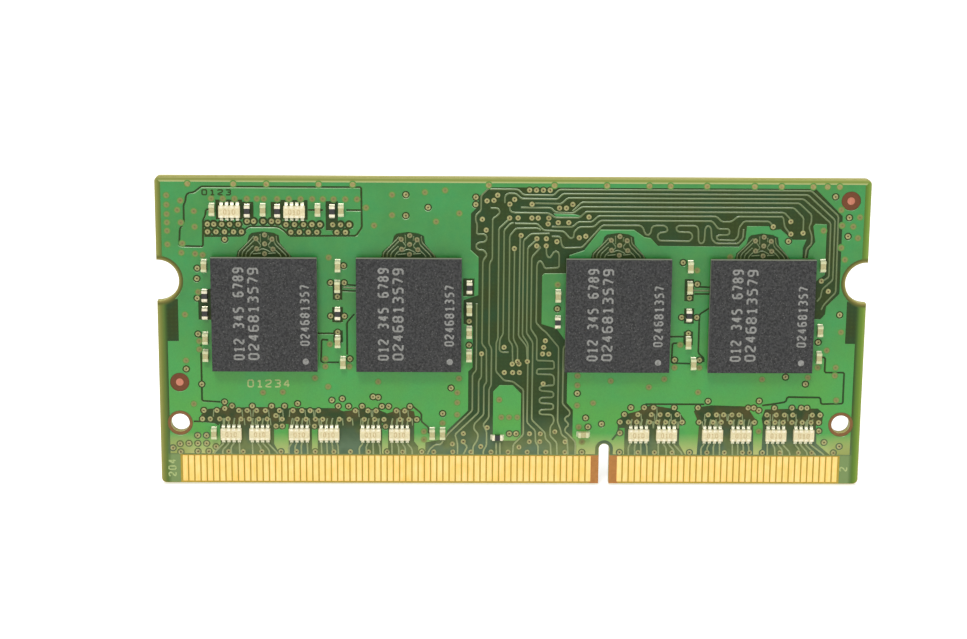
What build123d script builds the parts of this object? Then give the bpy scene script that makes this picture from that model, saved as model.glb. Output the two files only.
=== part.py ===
"""A 204-contact small-outline memory module: a 1 mm circuit board with eight memory chips.

Frame, in millimetres: the origin is the middle of the insertion edge, half way through the board.
+X runs along the insertion edge, +Z from that edge up the board, and -Y out of the front face.
The board stands upright, as in a vertical socket. Each sub-part is written to parts/NODE.step.
"""

import os

from build123d import *

# ---------------------------------------------------------------- driving dimensions
BOARD_WIDTH = 67.6
BOARD_HEIGHT = 30.0
BOARD_THICKNESS = 1.0  # over the contacts of both faces
CORNER_RADIUS = 0.5

KEY_X = 9.0  # key notch, off centre so that the module goes in one way round
KEY_WIDTH = 1.0
KEY_HEIGHT = 4.0
LATCH_Z = 20.0  # half-round side notches for the socket's latches
LATCH_RADIUS = 2.0
LATCH_INSET = 0.1  # how far the notch's centre is inside the side edge
HOLE_X = 31.9
HOLE_Z = 6.0
HOLE_RADIUS = 0.9

CONTACT_PITCH = 0.6
CONTACT_WIDTH = 0.45
CONTACT_LENGTH = 2.55
CONTACT_FOOT = 0.2  # gap from the insertion edge to the contacts
CONTACT_THICKNESS = 0.04
LONG_ROW_START, LONG_ROW_COUNT = -31.5, 66
SHORT_ROW_START, SHORT_ROW_COUNT = 10.5, 36

PREPREG_THICKNESS = 0.07
PLANE_THICKNESS = 0.03
MASK_THICKNESS = 0.025
MASK_EDGE_GAP = 0.05
PLANE_EDGE_GAP = 0.6
PLANE_FOOT = 3.0  # the inner planes stop above the contacts
HOLE_MASK_RADIUS = 1.2
FIDUCIAL_RADIUS = 0.36
FIDUCIAL_MASK_RADIUS = 0.9
CONTACT_WINDOW_TOP = 2.85
CONTACT_WINDOW_X = 31.95

CHIP_WIDTH, CHIP_HEIGHT = 10.0, 11.0
CHIP_X = (-23.6, -9.9, 10.0, 23.7)
CHIP_Z = 16.9
CHIP_TOP = 1.60  # height of the chip's top above the board's middle plane
MOULD_THICKNESS = 0.55
SUBSTRATE_THICKNESS = 0.21
DIE_WIDTH, DIE_HEIGHT, DIE_THICKNESS = 7.4, 9.0, 0.20
BALL_PITCH = 0.8
BALL_ROWS = 13
BALL_COLUMNS = (-4, -3, -2, 2, 3, 4)
BALL_RADIUS = 0.225

SMALL_LENGTH, SMALL_WIDTH = 1.0, 0.5  # the outline of a small resistor or capacitor
SMALL_TERMINAL = 0.24
RESISTOR_HEIGHT = 0.35
CAPACITOR_HEIGHT = 0.50
TERMINAL_STEP = 0.015  # how far a terminal stands out past its body
ARRAY_WIDTH, ARRAY_LENGTH, ARRAY_HEIGHT = 2.0, 1.1, 0.42
ARRAY_PITCH = 0.5
ARRAY_TERMINAL_WIDTH = 0.30
ARRAY_TERMINAL_LENGTH = 0.20
ARRAY_FILLET = 0.34
SMALL_FILLET = 0.16
STORE_FILLET = 0.12
SOLDER_FILM = 0.015
FILLET_SHARE = 0.75  # how far up a terminal its solder climbs
FILLET_HOLLOW = 2.0  # the power of the fillet's hollow curve, in four flat steps
FILLET_STEPS = (0, 0.4, 0.65, 0.85, 1)

# ---------------------------------------------------------------- derived planes
HALF = BOARD_THICKNESS / 2
LAMINATE_FACE = HALF - CONTACT_THICKNESS
CORE_FACE = LAMINATE_FACE - PREPREG_THICKNESS
MASK_FACE = LAMINATE_FACE + MASK_THICKNESS
MOULD_FOOT = CHIP_TOP - MOULD_THICKNESS
SUBSTRATE_FOOT = MOULD_FOOT - SUBSTRATE_THICKNESS
EDGE_X = BOARD_WIDTH / 2
FRONT, BACK = -1, 1

# ---------------------------------------------------------------- where the small parts are
# Each entry is the centre in X and Z. "upright" parts have a terminal at the top and the bottom.
ARRAYS_ROW_Z = 4.95
ARRAYS_ROW_X = (
    -27.0, -24.25, -20.45, -17.6, -13.6, -10.8, 12.3, 15.0, 19.45, 22.2, 25.6, 28.3,
)
ARRAYS_TOP_Z = 26.7
FRONT_ARRAYS_TOP_X = (-26.8, -20.7)
BACK_ARRAYS_TOP_X = (14.6, 17.8, 21.0, 24.2)

FRONT_RESISTORS = (
    (-25.15, 26.75), (-22.3, 26.75), (-17.15, 26.75), (-29.3, 18.55), (-29.3, 16.85),
    (-16.7, 16.85), (-4.15, 19.45), (4.3, 16.1), (16.85, 16.8),
)
FRONT_RESISTORS_FLAT = ((-1.35, 4.65),)
FRONT_CAPACITORS = (
    (-28.45, 26.85), (-23.65, 26.85), (-18.5, 26.85), (-16.3, 26.85),
    (-29.3, 21.45), (-29.3, 14.4), (-29.3, 12.7),
    (-16.65, 21.5), (-16.7, 19.5), (-16.7, 14.1), (-16.2, 12.05),
    (-4.15, 17.3), (-4.15, 15.05), (-4.15, 12.75), (4.3, 18.65),
    (16.85, 21.55), (16.85, 19.5), (16.85, 14.1), (17.4, 12.05),
    (29.45, 21.7), (29.45, 15.35), (29.45, 12.7),
    (-28.65, 5.0), (-7.65, 5.0), (-6.65, 5.0),
)
FRONT_CAPACITORS_FLAT = ((6.95, 5.0),)

BACK_RESISTORS = ((-16.7, 20.6), (-16.7, 13.6), (16.9, 20.6), (16.9, 13.6), (-1.6, 24.9), (2.4, 24.9))
BACK_RESISTORS_FLAT = ((-7.2, 5.2),)
BACK_CAPACITORS = (
    (-29.6, 21.5), (-29.6, 17.0), (-29.6, 12.5), (-16.7, 18.3), (-16.7, 15.9), (-16.7, 11.6),
    (-4.0, 21.5), (-4.0, 17.0), (-4.0, 12.5), (4.2, 21.5), (4.2, 17.0), (4.2, 12.5),
    (16.9, 18.3), (16.9, 15.9), (16.9, 11.6), (29.6, 21.5), (29.6, 17.0), (29.6, 12.5),
    (-24.0, 26.9), (-19.5, 26.9), (-9.8, 26.9), (10.0, 26.9), (12.9, 26.9), (26.6, 26.9),
)
BACK_CAPACITORS_FLAT = ((7.0, 5.0), (-1.6, 9.6))

MEMORY_STORE_X, MEMORY_STORE_Z = 0.3, 16.4  # the small chip that tells the host what the module is
STORE_WIDTH, STORE_HEIGHT, STORE_THICKNESS = 3.0, 2.0, 0.50
STORE_PADS = 4
STORE_PAD_PITCH, STORE_PAD_WIDTH, STORE_PAD_LENGTH = 0.5, 0.25, 0.35
STORE_PLATE = 0.03
STORE_SLUG_WIDTH, STORE_SLUG_HEIGHT = 1.4, 1.0

FIDUCIALS = ((-31.85, 10.05), (31.9, 27.95))


# ---------------------------------------------------------------- helpers
def slab(profile, low, high):
    """The X, Z profile as a solid between two planes of Y."""
    return extrude(Plane.XZ.offset(-high) * profile, high - low)


def faced(side, near, far):
    """The two planes of Y, low first, of something that stands from near to far out of one face."""
    return tuple(sorted((side * near, side * far)))


def block(side, x, z, width, height, near, far):
    """A box centred on (x, z) that stands from near to far out of one face of the board."""
    low, high = faced(side, near, far)
    return Pos(x, (low + high) / 2, z) * Box(width, high - low, height)


def outline(edge_gap, hole_radius, foot=0.0):
    """The board's outline, moved inwards by edge_gap and cut off below foot."""
    height = BOARD_HEIGHT - edge_gap - max(foot, edge_gap)
    middle = max(foot, edge_gap) + height / 2
    sheet = Pos(0, middle) * RectangleRounded(BOARD_WIDTH - 2 * edge_gap, height, CORNER_RADIUS)
    key_radius = KEY_WIDTH / 2 + edge_gap
    key_round_z = KEY_HEIGHT - KEY_WIDTH / 2
    sheet -= Pos(KEY_X, key_round_z / 2) * Rectangle(2 * key_radius, key_round_z)
    sheet -= Pos(KEY_X, key_round_z) * Circle(key_radius)
    for side in (-1, 1):
        sheet -= Pos(side * (EDGE_X - LATCH_INSET), LATCH_Z) * Circle(LATCH_RADIUS + edge_gap)
        sheet -= Pos(side * HOLE_X, HOLE_Z) * Circle(hole_radius)
    return sheet


def contact_positions():
    """The X of every contact on one face."""
    long_row = [LONG_ROW_START + CONTACT_PITCH * i for i in range(LONG_ROW_COUNT)]
    short_row = [SHORT_ROW_START + CONTACT_PITCH * i for i in range(SHORT_ROW_COUNT)]
    return long_row + short_row


# ---------------------------------------------------------------- the board
def board_core():
    """The inner laminate, with a shallow pocket in each face for a copper plane."""
    core = slab(outline(0, HOLE_RADIUS), -CORE_FACE, CORE_FACE)
    for side in (FRONT, BACK):
        core -= copper_plane(side)
    return core


def copper_plane(side):
    profile = outline(PLANE_EDGE_GAP, HOLE_MASK_RADIUS + 0.2, PLANE_FOOT)
    return slab(profile, *faced(side, CORE_FACE - PLANE_THICKNESS, CORE_FACE))


def prepreg(side):
    return slab(outline(0, HOLE_RADIUS), *faced(side, CORE_FACE, LAMINATE_FACE))


def solder_mask(side):
    """The green film, open at the contacts, the holes and the two alignment marks."""
    film = outline(MASK_EDGE_GAP, HOLE_MASK_RADIUS)
    film -= Pos(0, CONTACT_WINDOW_TOP / 2) * Rectangle(2 * CONTACT_WINDOW_X, CONTACT_WINDOW_TOP)
    for x, z in FIDUCIALS:
        film -= Pos(x, z) * Circle(FIDUCIAL_MASK_RADIUS)
    return slab(film, *faced(side, LAMINATE_FACE, MASK_FACE))


def contacts(side):
    middle = CONTACT_FOOT + CONTACT_LENGTH / 2
    return [
        block(side, x, middle, CONTACT_WIDTH, CONTACT_LENGTH, LAMINATE_FACE, HALF)
        for x in contact_positions()
    ]


def fiducials(side):
    return [
        slab(Pos(x, z) * Circle(FIDUCIAL_RADIUS), *faced(side, LAMINATE_FACE, MASK_FACE))
        for x, z in FIDUCIALS
    ]


# ---------------------------------------------------------------- the memory chips
def chip_die(side, x):
    far = MOULD_FOOT + DIE_THICKNESS
    return block(side, x, CHIP_Z, DIE_WIDTH, DIE_HEIGHT, MOULD_FOOT, far)


def chip_mould(side, x):
    body = block(side, x, CHIP_Z, CHIP_WIDTH, CHIP_HEIGHT, MOULD_FOOT, CHIP_TOP)
    return body - chip_die(side, x)


def chip_substrate(side, x):
    return block(side, x, CHIP_Z, CHIP_WIDTH, CHIP_HEIGHT, SUBSTRATE_FOOT, MOULD_FOOT)


def solder_ball():
    """One ball about the origin, flattened where it meets the board and the chip."""
    stand = SUBSTRATE_FOOT - MASK_FACE
    return Sphere(BALL_RADIUS) & Box(2 * BALL_RADIUS, stand, 2 * BALL_RADIUS)


def chip_balls(side, x):
    ball = solder_ball()
    y = side * (MASK_FACE + SUBSTRATE_FOOT) / 2
    rows = [CHIP_Z + BALL_PITCH * (row - (BALL_ROWS - 1) / 2) for row in range(BALL_ROWS)]
    return [Pos(x + BALL_PITCH * column, y, z) * ball for z in rows for column in BALL_COLUMNS]


# ---------------------------------------------------------------- the small parts
def small_bodies(side, places, flat_places, height):
    """The middles of resistors or capacitors, between their two terminals."""
    length = SMALL_LENGTH - 2 * SMALL_TERMINAL
    near = MASK_FACE + SOLDER_FILM + TERMINAL_STEP
    far = MASK_FACE + SOLDER_FILM + height
    upright = [block(side, x, z, SMALL_WIDTH, length, near, far) for x, z in places]
    flat = [block(side, x, z, length, SMALL_WIDTH, near, far) for x, z in flat_places]
    return upright + flat


def small_terminals(side, places, flat_places, height):
    near = MASK_FACE + SOLDER_FILM
    far = near + height + TERMINAL_STEP
    width = SMALL_WIDTH + 2 * TERMINAL_STEP
    shift = (SMALL_LENGTH - SMALL_TERMINAL) / 2
    made = []
    for end in (-1, 1):
        made += [
            block(side, x, z + end * shift, width, SMALL_TERMINAL, near, far) for x, z in places
        ]
        made += [
            block(side, x + end * shift, z, SMALL_TERMINAL, width, near, far)
            for x, z in flat_places
        ]
    return made


def solder_joint(length, under, run, width, height):
    """A joint about the origin: a thin film under a terminal and a hollow fillet up its end.

    The terminal's end is at +X = length; the film starts at length - under and the fillet ends
    at length + run. Heights are along +Z, and the width is along Y.
    """
    climb = [(length + run * (1 - u), SOLDER_FILM + height * u**FILLET_HOLLOW) for u in FILLET_STEPS]
    outer = [(length - under, 0), (length + run, 0)] + climb
    edge = Polyline(*outer, (length, SOLDER_FILM), (length - under, SOLDER_FILM), close=True)
    profile = Plane.XZ * make_face(edge)
    return extrude(profile, width / 2, both=True)


def joints_at(side, joint, places):
    """The joint, repeated. A place is X, Z and the angle in degrees, in the board's plane."""
    made = []
    for x, z, angle in places:
        on_face = Plane(
            origin=(x, side * MASK_FACE, z), x_dir=(1, 0, 0), z_dir=(0, side, 0)
        )
        made.append(on_face * Rot(0, 0, angle) * joint)
    return made


def small_solder(side, places, flat_places, height):
    joint = solder_joint(
        SMALL_LENGTH / 2, SMALL_TERMINAL, SMALL_FILLET, SMALL_WIDTH, height * FILLET_SHARE
    )
    spots = [(x, z, angle) for x, z in places for angle in (90, -90)]
    spots += [(x, z, angle) for x, z in flat_places for angle in (0, 180)]
    return joints_at(side, joint, spots)


def array_offsets():
    return [ARRAY_PITCH * (i - 1.5) for i in range(4)]


def array_bodies(side, places):
    """Ceramic blocks, notched along both long sides where their terminals are."""
    near = MASK_FACE + SOLDER_FILM
    made = []
    for x, z in places:
        body = block(side, x, z, ARRAY_WIDTH, ARRAY_LENGTH, near, near + ARRAY_HEIGHT)
        for terminal in array_terminals_of(side, x, z):
            body -= terminal
        made.append(body)
    return made


def array_terminals_of(side, x, z):
    near = MASK_FACE + SOLDER_FILM
    far = near + ARRAY_HEIGHT
    shift = (ARRAY_LENGTH - ARRAY_TERMINAL_LENGTH) / 2
    return [
        block(
            side, x + across, z + end * shift, ARRAY_TERMINAL_WIDTH, ARRAY_TERMINAL_LENGTH, near, far
        )
        for end in (-1, 1)
        for across in array_offsets()
    ]


def array_terminals(side, places):
    return [terminal for x, z in places for terminal in array_terminals_of(side, x, z)]


def array_solder(side, places):
    joint = solder_joint(
        ARRAY_LENGTH / 2,
        ARRAY_TERMINAL_LENGTH,
        ARRAY_FILLET,
        ARRAY_TERMINAL_WIDTH,
        ARRAY_HEIGHT * FILLET_SHARE,
    )
    spots = [
        (x + across, z, angle) for x, z in places for across in array_offsets() for angle in (90, -90)
    ]
    return joints_at(side, joint, spots)


# ---------------------------------------------------------------- the identity store chip
def store_body():
    near = MASK_FACE + SOLDER_FILM
    body = block(
        BACK, MEMORY_STORE_X, MEMORY_STORE_Z, STORE_WIDTH, STORE_HEIGHT, near, near + STORE_THICKNESS
    )
    for lead in store_leads():
        body -= lead
    return body


def store_leads():
    """Eight flush leads along the two short sides, and the slug under the middle."""
    near = MASK_FACE + SOLDER_FILM
    far = near + STORE_PLATE
    shift = (STORE_WIDTH - STORE_PAD_LENGTH) / 2
    leads = [
        block(
            BACK,
            MEMORY_STORE_X + end * shift,
            MEMORY_STORE_Z + STORE_PAD_PITCH * (i - (STORE_PADS - 1) / 2),
            STORE_PAD_LENGTH,
            STORE_PAD_WIDTH,
            near,
            far,
        )
        for end in (-1, 1)
        for i in range(STORE_PADS)
    ]
    slug = block(
        BACK, MEMORY_STORE_X, MEMORY_STORE_Z, STORE_SLUG_WIDTH, STORE_SLUG_HEIGHT, near, far
    )
    return leads + [slug]


def store_solder():
    joint = solder_joint(
        STORE_WIDTH / 2, STORE_PAD_LENGTH, STORE_FILLET, STORE_PAD_WIDTH, STORE_PLATE
    )
    spots = [
        (MEMORY_STORE_X, MEMORY_STORE_Z + STORE_PAD_PITCH * (i - (STORE_PADS - 1) / 2), angle)
        for i in range(STORE_PADS)
        for angle in (0, 180)
    ]
    return joints_at(BACK, joint, spots)


# ---------------------------------------------------------------- everything, by node name
def board_nodes():
    return {
        "board_core": board_core(),
        "ground_plane": copper_plane(FRONT),
        "power_plane": copper_plane(BACK),
        "prepreg_front": prepreg(FRONT),
        "prepreg_back": prepreg(BACK),
        "solder_mask_front": solder_mask(FRONT),
        "solder_mask_back": solder_mask(BACK),
        "contacts_front": contacts(FRONT),
        "contacts_back": contacts(BACK),
        "alignment_marks_front": fiducials(FRONT),
        "alignment_marks_back": fiducials(BACK),
    }


def chip_nodes():
    nodes = {}
    places = [(FRONT, x) for x in CHIP_X] + [(BACK, x) for x in CHIP_X]
    for number, (side, x) in enumerate(places, start=1):
        nodes[f"memory_chip_{number}_cover"] = chip_mould(side, x)
        nodes[f"memory_chip_{number}_base"] = chip_substrate(side, x)
        nodes[f"memory_chip_{number}_balls"] = chip_balls(side, x)
    nodes["silicon_dies_front"] = [chip_die(FRONT, x) for x in CHIP_X]
    nodes["silicon_dies_back"] = [chip_die(BACK, x) for x in CHIP_X]
    return nodes


def small_nodes(side, word, arrays, resistors, resistors_flat, capacitors, capacitors_flat):
    resistor = (side, resistors, resistors_flat, RESISTOR_HEIGHT)
    capacitor = (side, capacitors, capacitors_flat, CAPACITOR_HEIGHT)
    return {
        f"resistor_arrays_{word}": array_bodies(side, arrays),
        f"resistor_array_terminals_{word}": array_terminals(side, arrays),
        f"resistors_{word}": small_bodies(*resistor),
        f"resistor_terminals_{word}": small_terminals(*resistor),
        f"capacitors_{word}": small_bodies(*capacitor),
        f"capacitor_terminals_{word}": small_terminals(*capacitor),
        f"solder_joints_{word}": array_solder(side, arrays)
        + small_solder(*resistor)
        + small_solder(*capacitor),
    }


def all_nodes():
    row = [(x, ARRAYS_ROW_Z) for x in ARRAYS_ROW_X]
    front_arrays = row + [(x, ARRAYS_TOP_Z) for x in FRONT_ARRAYS_TOP_X]
    back_arrays = row + [(x, ARRAYS_TOP_Z) for x in BACK_ARRAYS_TOP_X]
    return {
        **board_nodes(),
        **chip_nodes(),
        **small_nodes(
            FRONT, "front", front_arrays, FRONT_RESISTORS, FRONT_RESISTORS_FLAT,
            FRONT_CAPACITORS, FRONT_CAPACITORS_FLAT,
        ),
        **small_nodes(
            BACK, "back", back_arrays, BACK_RESISTORS, BACK_RESISTORS_FLAT,
            BACK_CAPACITORS, BACK_CAPACITORS_FLAT,
        ),
        "identity_chip_body": store_body(),
        "identity_chip_leads": store_leads(),
        "identity_chip_solder": store_solder(),
    }


def main():
    os.makedirs("parts", exist_ok=True)
    for name, shape in all_nodes().items():
        if isinstance(shape, list):
            shape = Compound(children=[solid for item in shape for solid in item.solids()])
        export_step(shape, f"parts/{name}.step")


main()
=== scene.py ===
"""The looks of a 204-contact memory module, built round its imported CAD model.

The board stands upright: +X runs along the insertion edge, +Z up the board, and the front face looks
along -Y. Lengths are in millimetres, and a place on a face is an (x, z) pair.
"""

import math

import bpy
from mathutils import Matrix, Vector
from mathutils.geometry import delaunay_2d_cdt, intersect_point_line


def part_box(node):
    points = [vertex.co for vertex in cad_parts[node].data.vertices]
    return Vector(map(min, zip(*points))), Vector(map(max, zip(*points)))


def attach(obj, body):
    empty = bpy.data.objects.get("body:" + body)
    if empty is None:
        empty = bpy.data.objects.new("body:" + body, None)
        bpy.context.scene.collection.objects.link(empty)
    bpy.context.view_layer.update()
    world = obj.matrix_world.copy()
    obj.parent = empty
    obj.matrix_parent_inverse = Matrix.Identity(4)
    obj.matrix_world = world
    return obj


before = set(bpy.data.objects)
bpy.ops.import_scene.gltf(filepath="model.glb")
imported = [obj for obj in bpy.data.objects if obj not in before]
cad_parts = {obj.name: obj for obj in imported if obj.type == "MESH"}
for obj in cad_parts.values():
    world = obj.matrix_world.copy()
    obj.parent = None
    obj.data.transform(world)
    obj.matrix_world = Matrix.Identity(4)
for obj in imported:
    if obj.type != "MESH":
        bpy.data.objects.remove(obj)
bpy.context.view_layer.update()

MM = 0.001
FRONT, BACK = -1, 1


def outer_face(box):
    """How far the outer face of a part is from the middle of the board."""
    return max(abs(corner.y) for corner in box) / MM


MASK_FACE = outer_face(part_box("solder_mask_front"))
CHIP_FACE = outer_face(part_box("memory_chip_1_cover"))
IDENTITY_FACE = outer_face(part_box("identity_chip_body"))
ARRAY_FACE = outer_face(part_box("resistor_arrays_front"))
BOARD_HALF_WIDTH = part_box("board_core")[1].x / MM
BOARD_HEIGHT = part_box("board_core")[1].z / MM
LATCH_X, LATCH_Z = BOARD_HALF_WIDTH - 0.1, 20.0
HOLE_X, HOLE_Z = 31.9, 6.0
KEY_X, KEY_TOP = 9.0, 3.5
WINDOW_TOP = 2.9  # the mask is open over the contacts up to here
CHIP_X = (-23.6, -9.9, 10.0, 23.7)
ALIGNMENT_MARKS = ((-31.85, 10.05), (31.9, 27.95))


# ---------------------------------------------------------------- colour and shader helpers
def srgb(red, green, blue):
    """A 0 to 255 screen colour as the linear colour that shaders take."""
    channels = []
    for value in (red, green, blue):
        c = value / 255
        channels.append(c / 12.92 if c <= 0.04045 else ((c + 0.055) / 1.055) ** 2.4)
    return (*channels, 1.0)


def fill_ramp(node, stops):
    """Sets a colour ramp's stops from (place, colour) pairs."""
    elements = node.color_ramp.elements
    while len(elements) < len(stops):
        elements.new(1.0)
    for element, (place, colour) in zip(elements, stops):
        element.position = place
        element.color = colour


class Shader:
    """A material under construction: each method adds a node and returns its output socket."""

    def __init__(self, name, roughness=0.5, metallic=0.0, specular=0.5, coat=0.0, coat_roughness=0.15):
        self.material = bpy.data.materials.new(name)
        self.material.use_nodes = True
        self.tree = self.material.node_tree
        self.surface = self.tree.nodes["Principled BSDF"]
        self.surface.inputs["Roughness"].default_value = roughness
        self.surface.inputs["Metallic"].default_value = metallic
        self.surface.inputs["Specular IOR Level"].default_value = specular
        self.surface.inputs["Coat Weight"].default_value = coat
        self.surface.inputs["Coat Roughness"].default_value = coat_roughness
        coordinates = self.add("ShaderNodeTexCoord")
        self.position = coordinates.outputs["Object"]
        self.normal = coordinates.outputs["Normal"]

    def add(self, kind, **settings):
        node = self.tree.nodes.new(kind)
        for key, value in settings.items():
            setattr(node, key, value)
        return node

    def feed(self, socket, value):
        if isinstance(value, bpy.types.NodeSocket):
            self.tree.links.new(value, socket)
        else:
            socket.default_value = value

    def place(self, scale=(1, 1, 1)):
        """The position in millimetres, stretched by scale."""
        node = self.add("ShaderNodeMapping")
        self.feed(node.inputs["Vector"], self.position)
        node.inputs["Scale"].default_value = [s / MM for s in scale]
        return node.outputs["Vector"]

    def part(self, vector, letter):
        node = self.add("ShaderNodeSeparateXYZ")
        self.feed(node.inputs[0], vector)
        return node.outputs[letter]

    def axis(self, letter):
        """The position along an axis, in millimetres."""
        return self.part(self.place(), letter)

    def facing(self, letter):
        """How far the surface faces along an axis, from -1 to 1."""
        return self.part(self.normal, letter)

    def noise(self, per_mm, detail=3.0, rough=0.6, stretch=(1, 1, 1)):
        node = self.add("ShaderNodeTexNoise")
        self.feed(node.inputs["Vector"], self.place(stretch))
        node.inputs["Scale"].default_value = per_mm
        node.inputs["Detail"].default_value = detail
        node.inputs["Roughness"].default_value = rough
        return node.outputs["Fac"]

    def cells(self, per_mm):
        """The distance from the nearest of scattered points, as a share of their spacing."""
        node = self.add("ShaderNodeTexVoronoi")
        self.feed(node.inputs["Vector"], self.place())
        node.inputs["Scale"].default_value = per_mm
        return node.outputs["Distance"]

    def waves(self, per_mm, direction):
        node = self.add("ShaderNodeTexWave", bands_direction=direction)
        self.feed(node.inputs["Vector"], self.place())
        node.inputs["Scale"].default_value = per_mm
        node.inputs["Distortion"].default_value = 0.6
        return node.outputs["Fac"]

    def math(self, operation, *values):
        node = self.add("ShaderNodeMath", operation=operation)
        for socket, value in zip(node.inputs, values):
            self.feed(socket, value)
        return node.outputs[0]

    def off(self, value, middle):
        """How far value is from middle."""
        return self.math("ABSOLUTE", self.math("SUBTRACT", value, middle))

    def blend(self, share, first, second):
        """The two values added up, with share of the second and the rest of the first."""
        return self.math("ADD", self.math("MULTIPLY", first, 1 - share), self.math("MULTIPLY", second, share))

    def spread(self, value, low, high, to_low=0.0, to_high=1.0):
        """Maps the range from low to high onto to_low to to_high, and clamps it."""
        node = self.add("ShaderNodeMapRange")
        for socket, number in zip(node.inputs, (value, low, high, to_low, to_high)):
            self.feed(socket, number)
        return node.outputs[0]

    def mix(self, amount, first, second):
        node = self.add("ShaderNodeMix", data_type="RGBA")
        self.feed(node.inputs["Factor"], amount)
        self.feed(node.inputs[6], first)
        self.feed(node.inputs[7], second)
        return node.outputs[2]

    def ramp(self, value, stops):
        node = self.add("ShaderNodeValToRGB")
        self.feed(node.inputs[0], value)
        fill_ramp(node, stops)
        return node.outputs["Color"]

    def finish(self, colour, roughness=None, height=None, depth=0.01, strength=0.4):
        """Wires up the colour, and the roughness and the bump height where they are given."""
        self.feed(self.surface.inputs["Base Color"], colour)
        if roughness is not None:
            self.feed(self.surface.inputs["Roughness"], roughness)
        if height is not None:
            bump = self.add("ShaderNodeBump")
            bump.inputs["Strength"].default_value = strength
            bump.inputs["Distance"].default_value = depth * MM
            self.feed(bump.inputs["Height"], height)
            self.feed(self.surface.inputs["Normal"], bump.outputs["Normal"])
        return self.material


def edge_distance(shader):
    """How far a point on a face is inside the board's straight edges, in millimetres."""
    side = shader.math("SUBTRACT", BOARD_HALF_WIDTH, shader.math("ABSOLUTE", shader.axis("X")))
    top = shader.math("SUBTRACT", BOARD_HEIGHT, shader.axis("Z"))
    return shader.math("MINIMUM", side, top)


def ring_distance(shader, x, z):
    """The distance from the mirrored pair of points at plus and minus x, in millimetres."""
    across = shader.math("SUBTRACT", shader.math("ABSOLUTE", shader.axis("X")), x)
    up = shader.math("SUBTRACT", shader.axis("Z"), z)
    square = shader.math("ADD", shader.math("MULTIPLY", across, across), shader.math("MULTIPLY", up, up))
    return shader.math("SQRT", square)


def near(shader, distance, reach, soft=0.06):
    """1 within reach of a place, and 0 past it."""
    return shader.spread(distance, reach - soft, reach + soft, 1.0, 0.0)


# ---------------------------------------------------------------- materials
def painted_edge_highlight(shader, colour):
    """A painted highlight: pales the copper's edges that face up, most of all towards the top and the left of
    the board.
    """
    amount = shader.spread(shader.facing("Z"), 0.2, 0.42)
    amount = shader.math("MULTIPLY", amount, shader.spread(shader.axis("Z"), 14.0, 26.0, 0.1, 0.65))
    amount = shader.math("MULTIPLY", amount, shader.spread(shader.axis("X"), 2.0, 14.0, 1.0, 0.3))
    return shader.mix(amount, colour, srgb(200, 222, 180))


POUR_LOW = (3.0, 5.1)  # between these heights, the pour turns from pale to green
POUR_GREENS = (
    (0.0, srgb(70, 151, 50)),
    (0.3, srgb(64, 144, 49)),
    (0.6, srgb(46, 119, 48)),
    (1.0, srgb(44, 127, 53)),
)


def mask_over_copper():
    """Green mask on a copper pour: warmer low on the board, bluer near the chips."""
    shader = Shader("mask_over_copper", roughness=0.36, specular=0.45, coat=0.1)
    base = shader.ramp(shader.spread(shader.axis("Z"), 5.0, 27.0), POUR_GREENS)
    mottle = shader.spread(shader.noise(0.22, 2.0, 0.5), 0.35, 0.65)
    colour = shader.mix(mottle, base, shader.mix(0.5, base, srgb(34, 146, 76)))
    cloud = shader.spread(shader.noise(1.3, 3.0, 0.6), 0.3, 0.7, 0.0, 0.3)
    colour = shader.mix(cloud, colour, srgb(72, 138, 52))
    grain = shader.noise(7.0, 3.0, 0.7)
    colour = shader.mix(shader.spread(grain, 0.35, 0.75, 0.0, 0.25), colour, srgb(30, 104, 40))
    low = shader.spread(shader.axis("Z"), *POUR_LOW, 1.0, 0.0)
    colour = shader.mix(low, colour, srgb(164, 168, 98))
    side = shader.spread(shader.math("ABSOLUTE", shader.axis("X")), 30.6, 31.6)
    colour = shader.mix(shader.math("MULTIPLY", side, low), colour, srgb(132, 142, 66))
    rough = shader.spread(shader.noise(2.0, 3.0), 0.3, 0.7, 0.28, 0.44)
    # The pour's upward-facing edges get a painted highlight.
    return shader.finish(painted_edge_highlight(shader, colour), rough, grain, depth=0.004, strength=0.35)


# How the mask's colour changes from the board's edge inwards: (distance, colour).
LEFT_RIM = (
    (0.0, srgb(146, 145, 78)),
    (0.3, srgb(112, 118, 50)),
    (0.5, srgb(90, 108, 44)),
    (0.75, srgb(70, 100, 38)),
    (1.0, srgb(48, 72, 26)),
)
RIGHT_RIM = (
    (0.0, srgb(130, 152, 66)),
    (0.3, srgb(98, 128, 42)),
    (0.5, srgb(84, 115, 38)),
    (0.75, srgb(66, 98, 34)),
    (1.0, srgb(46, 70, 22)),
)
# Along the top edge. The pale stop at 0.44 is a painted highlight on the pour's upper edge.
TOP_RIM_WITH_HIGHLIGHT = (
    (0.0, srgb(190, 190, 128)),
    (0.16, srgb(130, 134, 66)),
    (0.3, srgb(140, 148, 78)),
    (0.44, srgb(214, 214, 150)),
    (0.55, srgb(60, 92, 40)),
)


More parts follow.
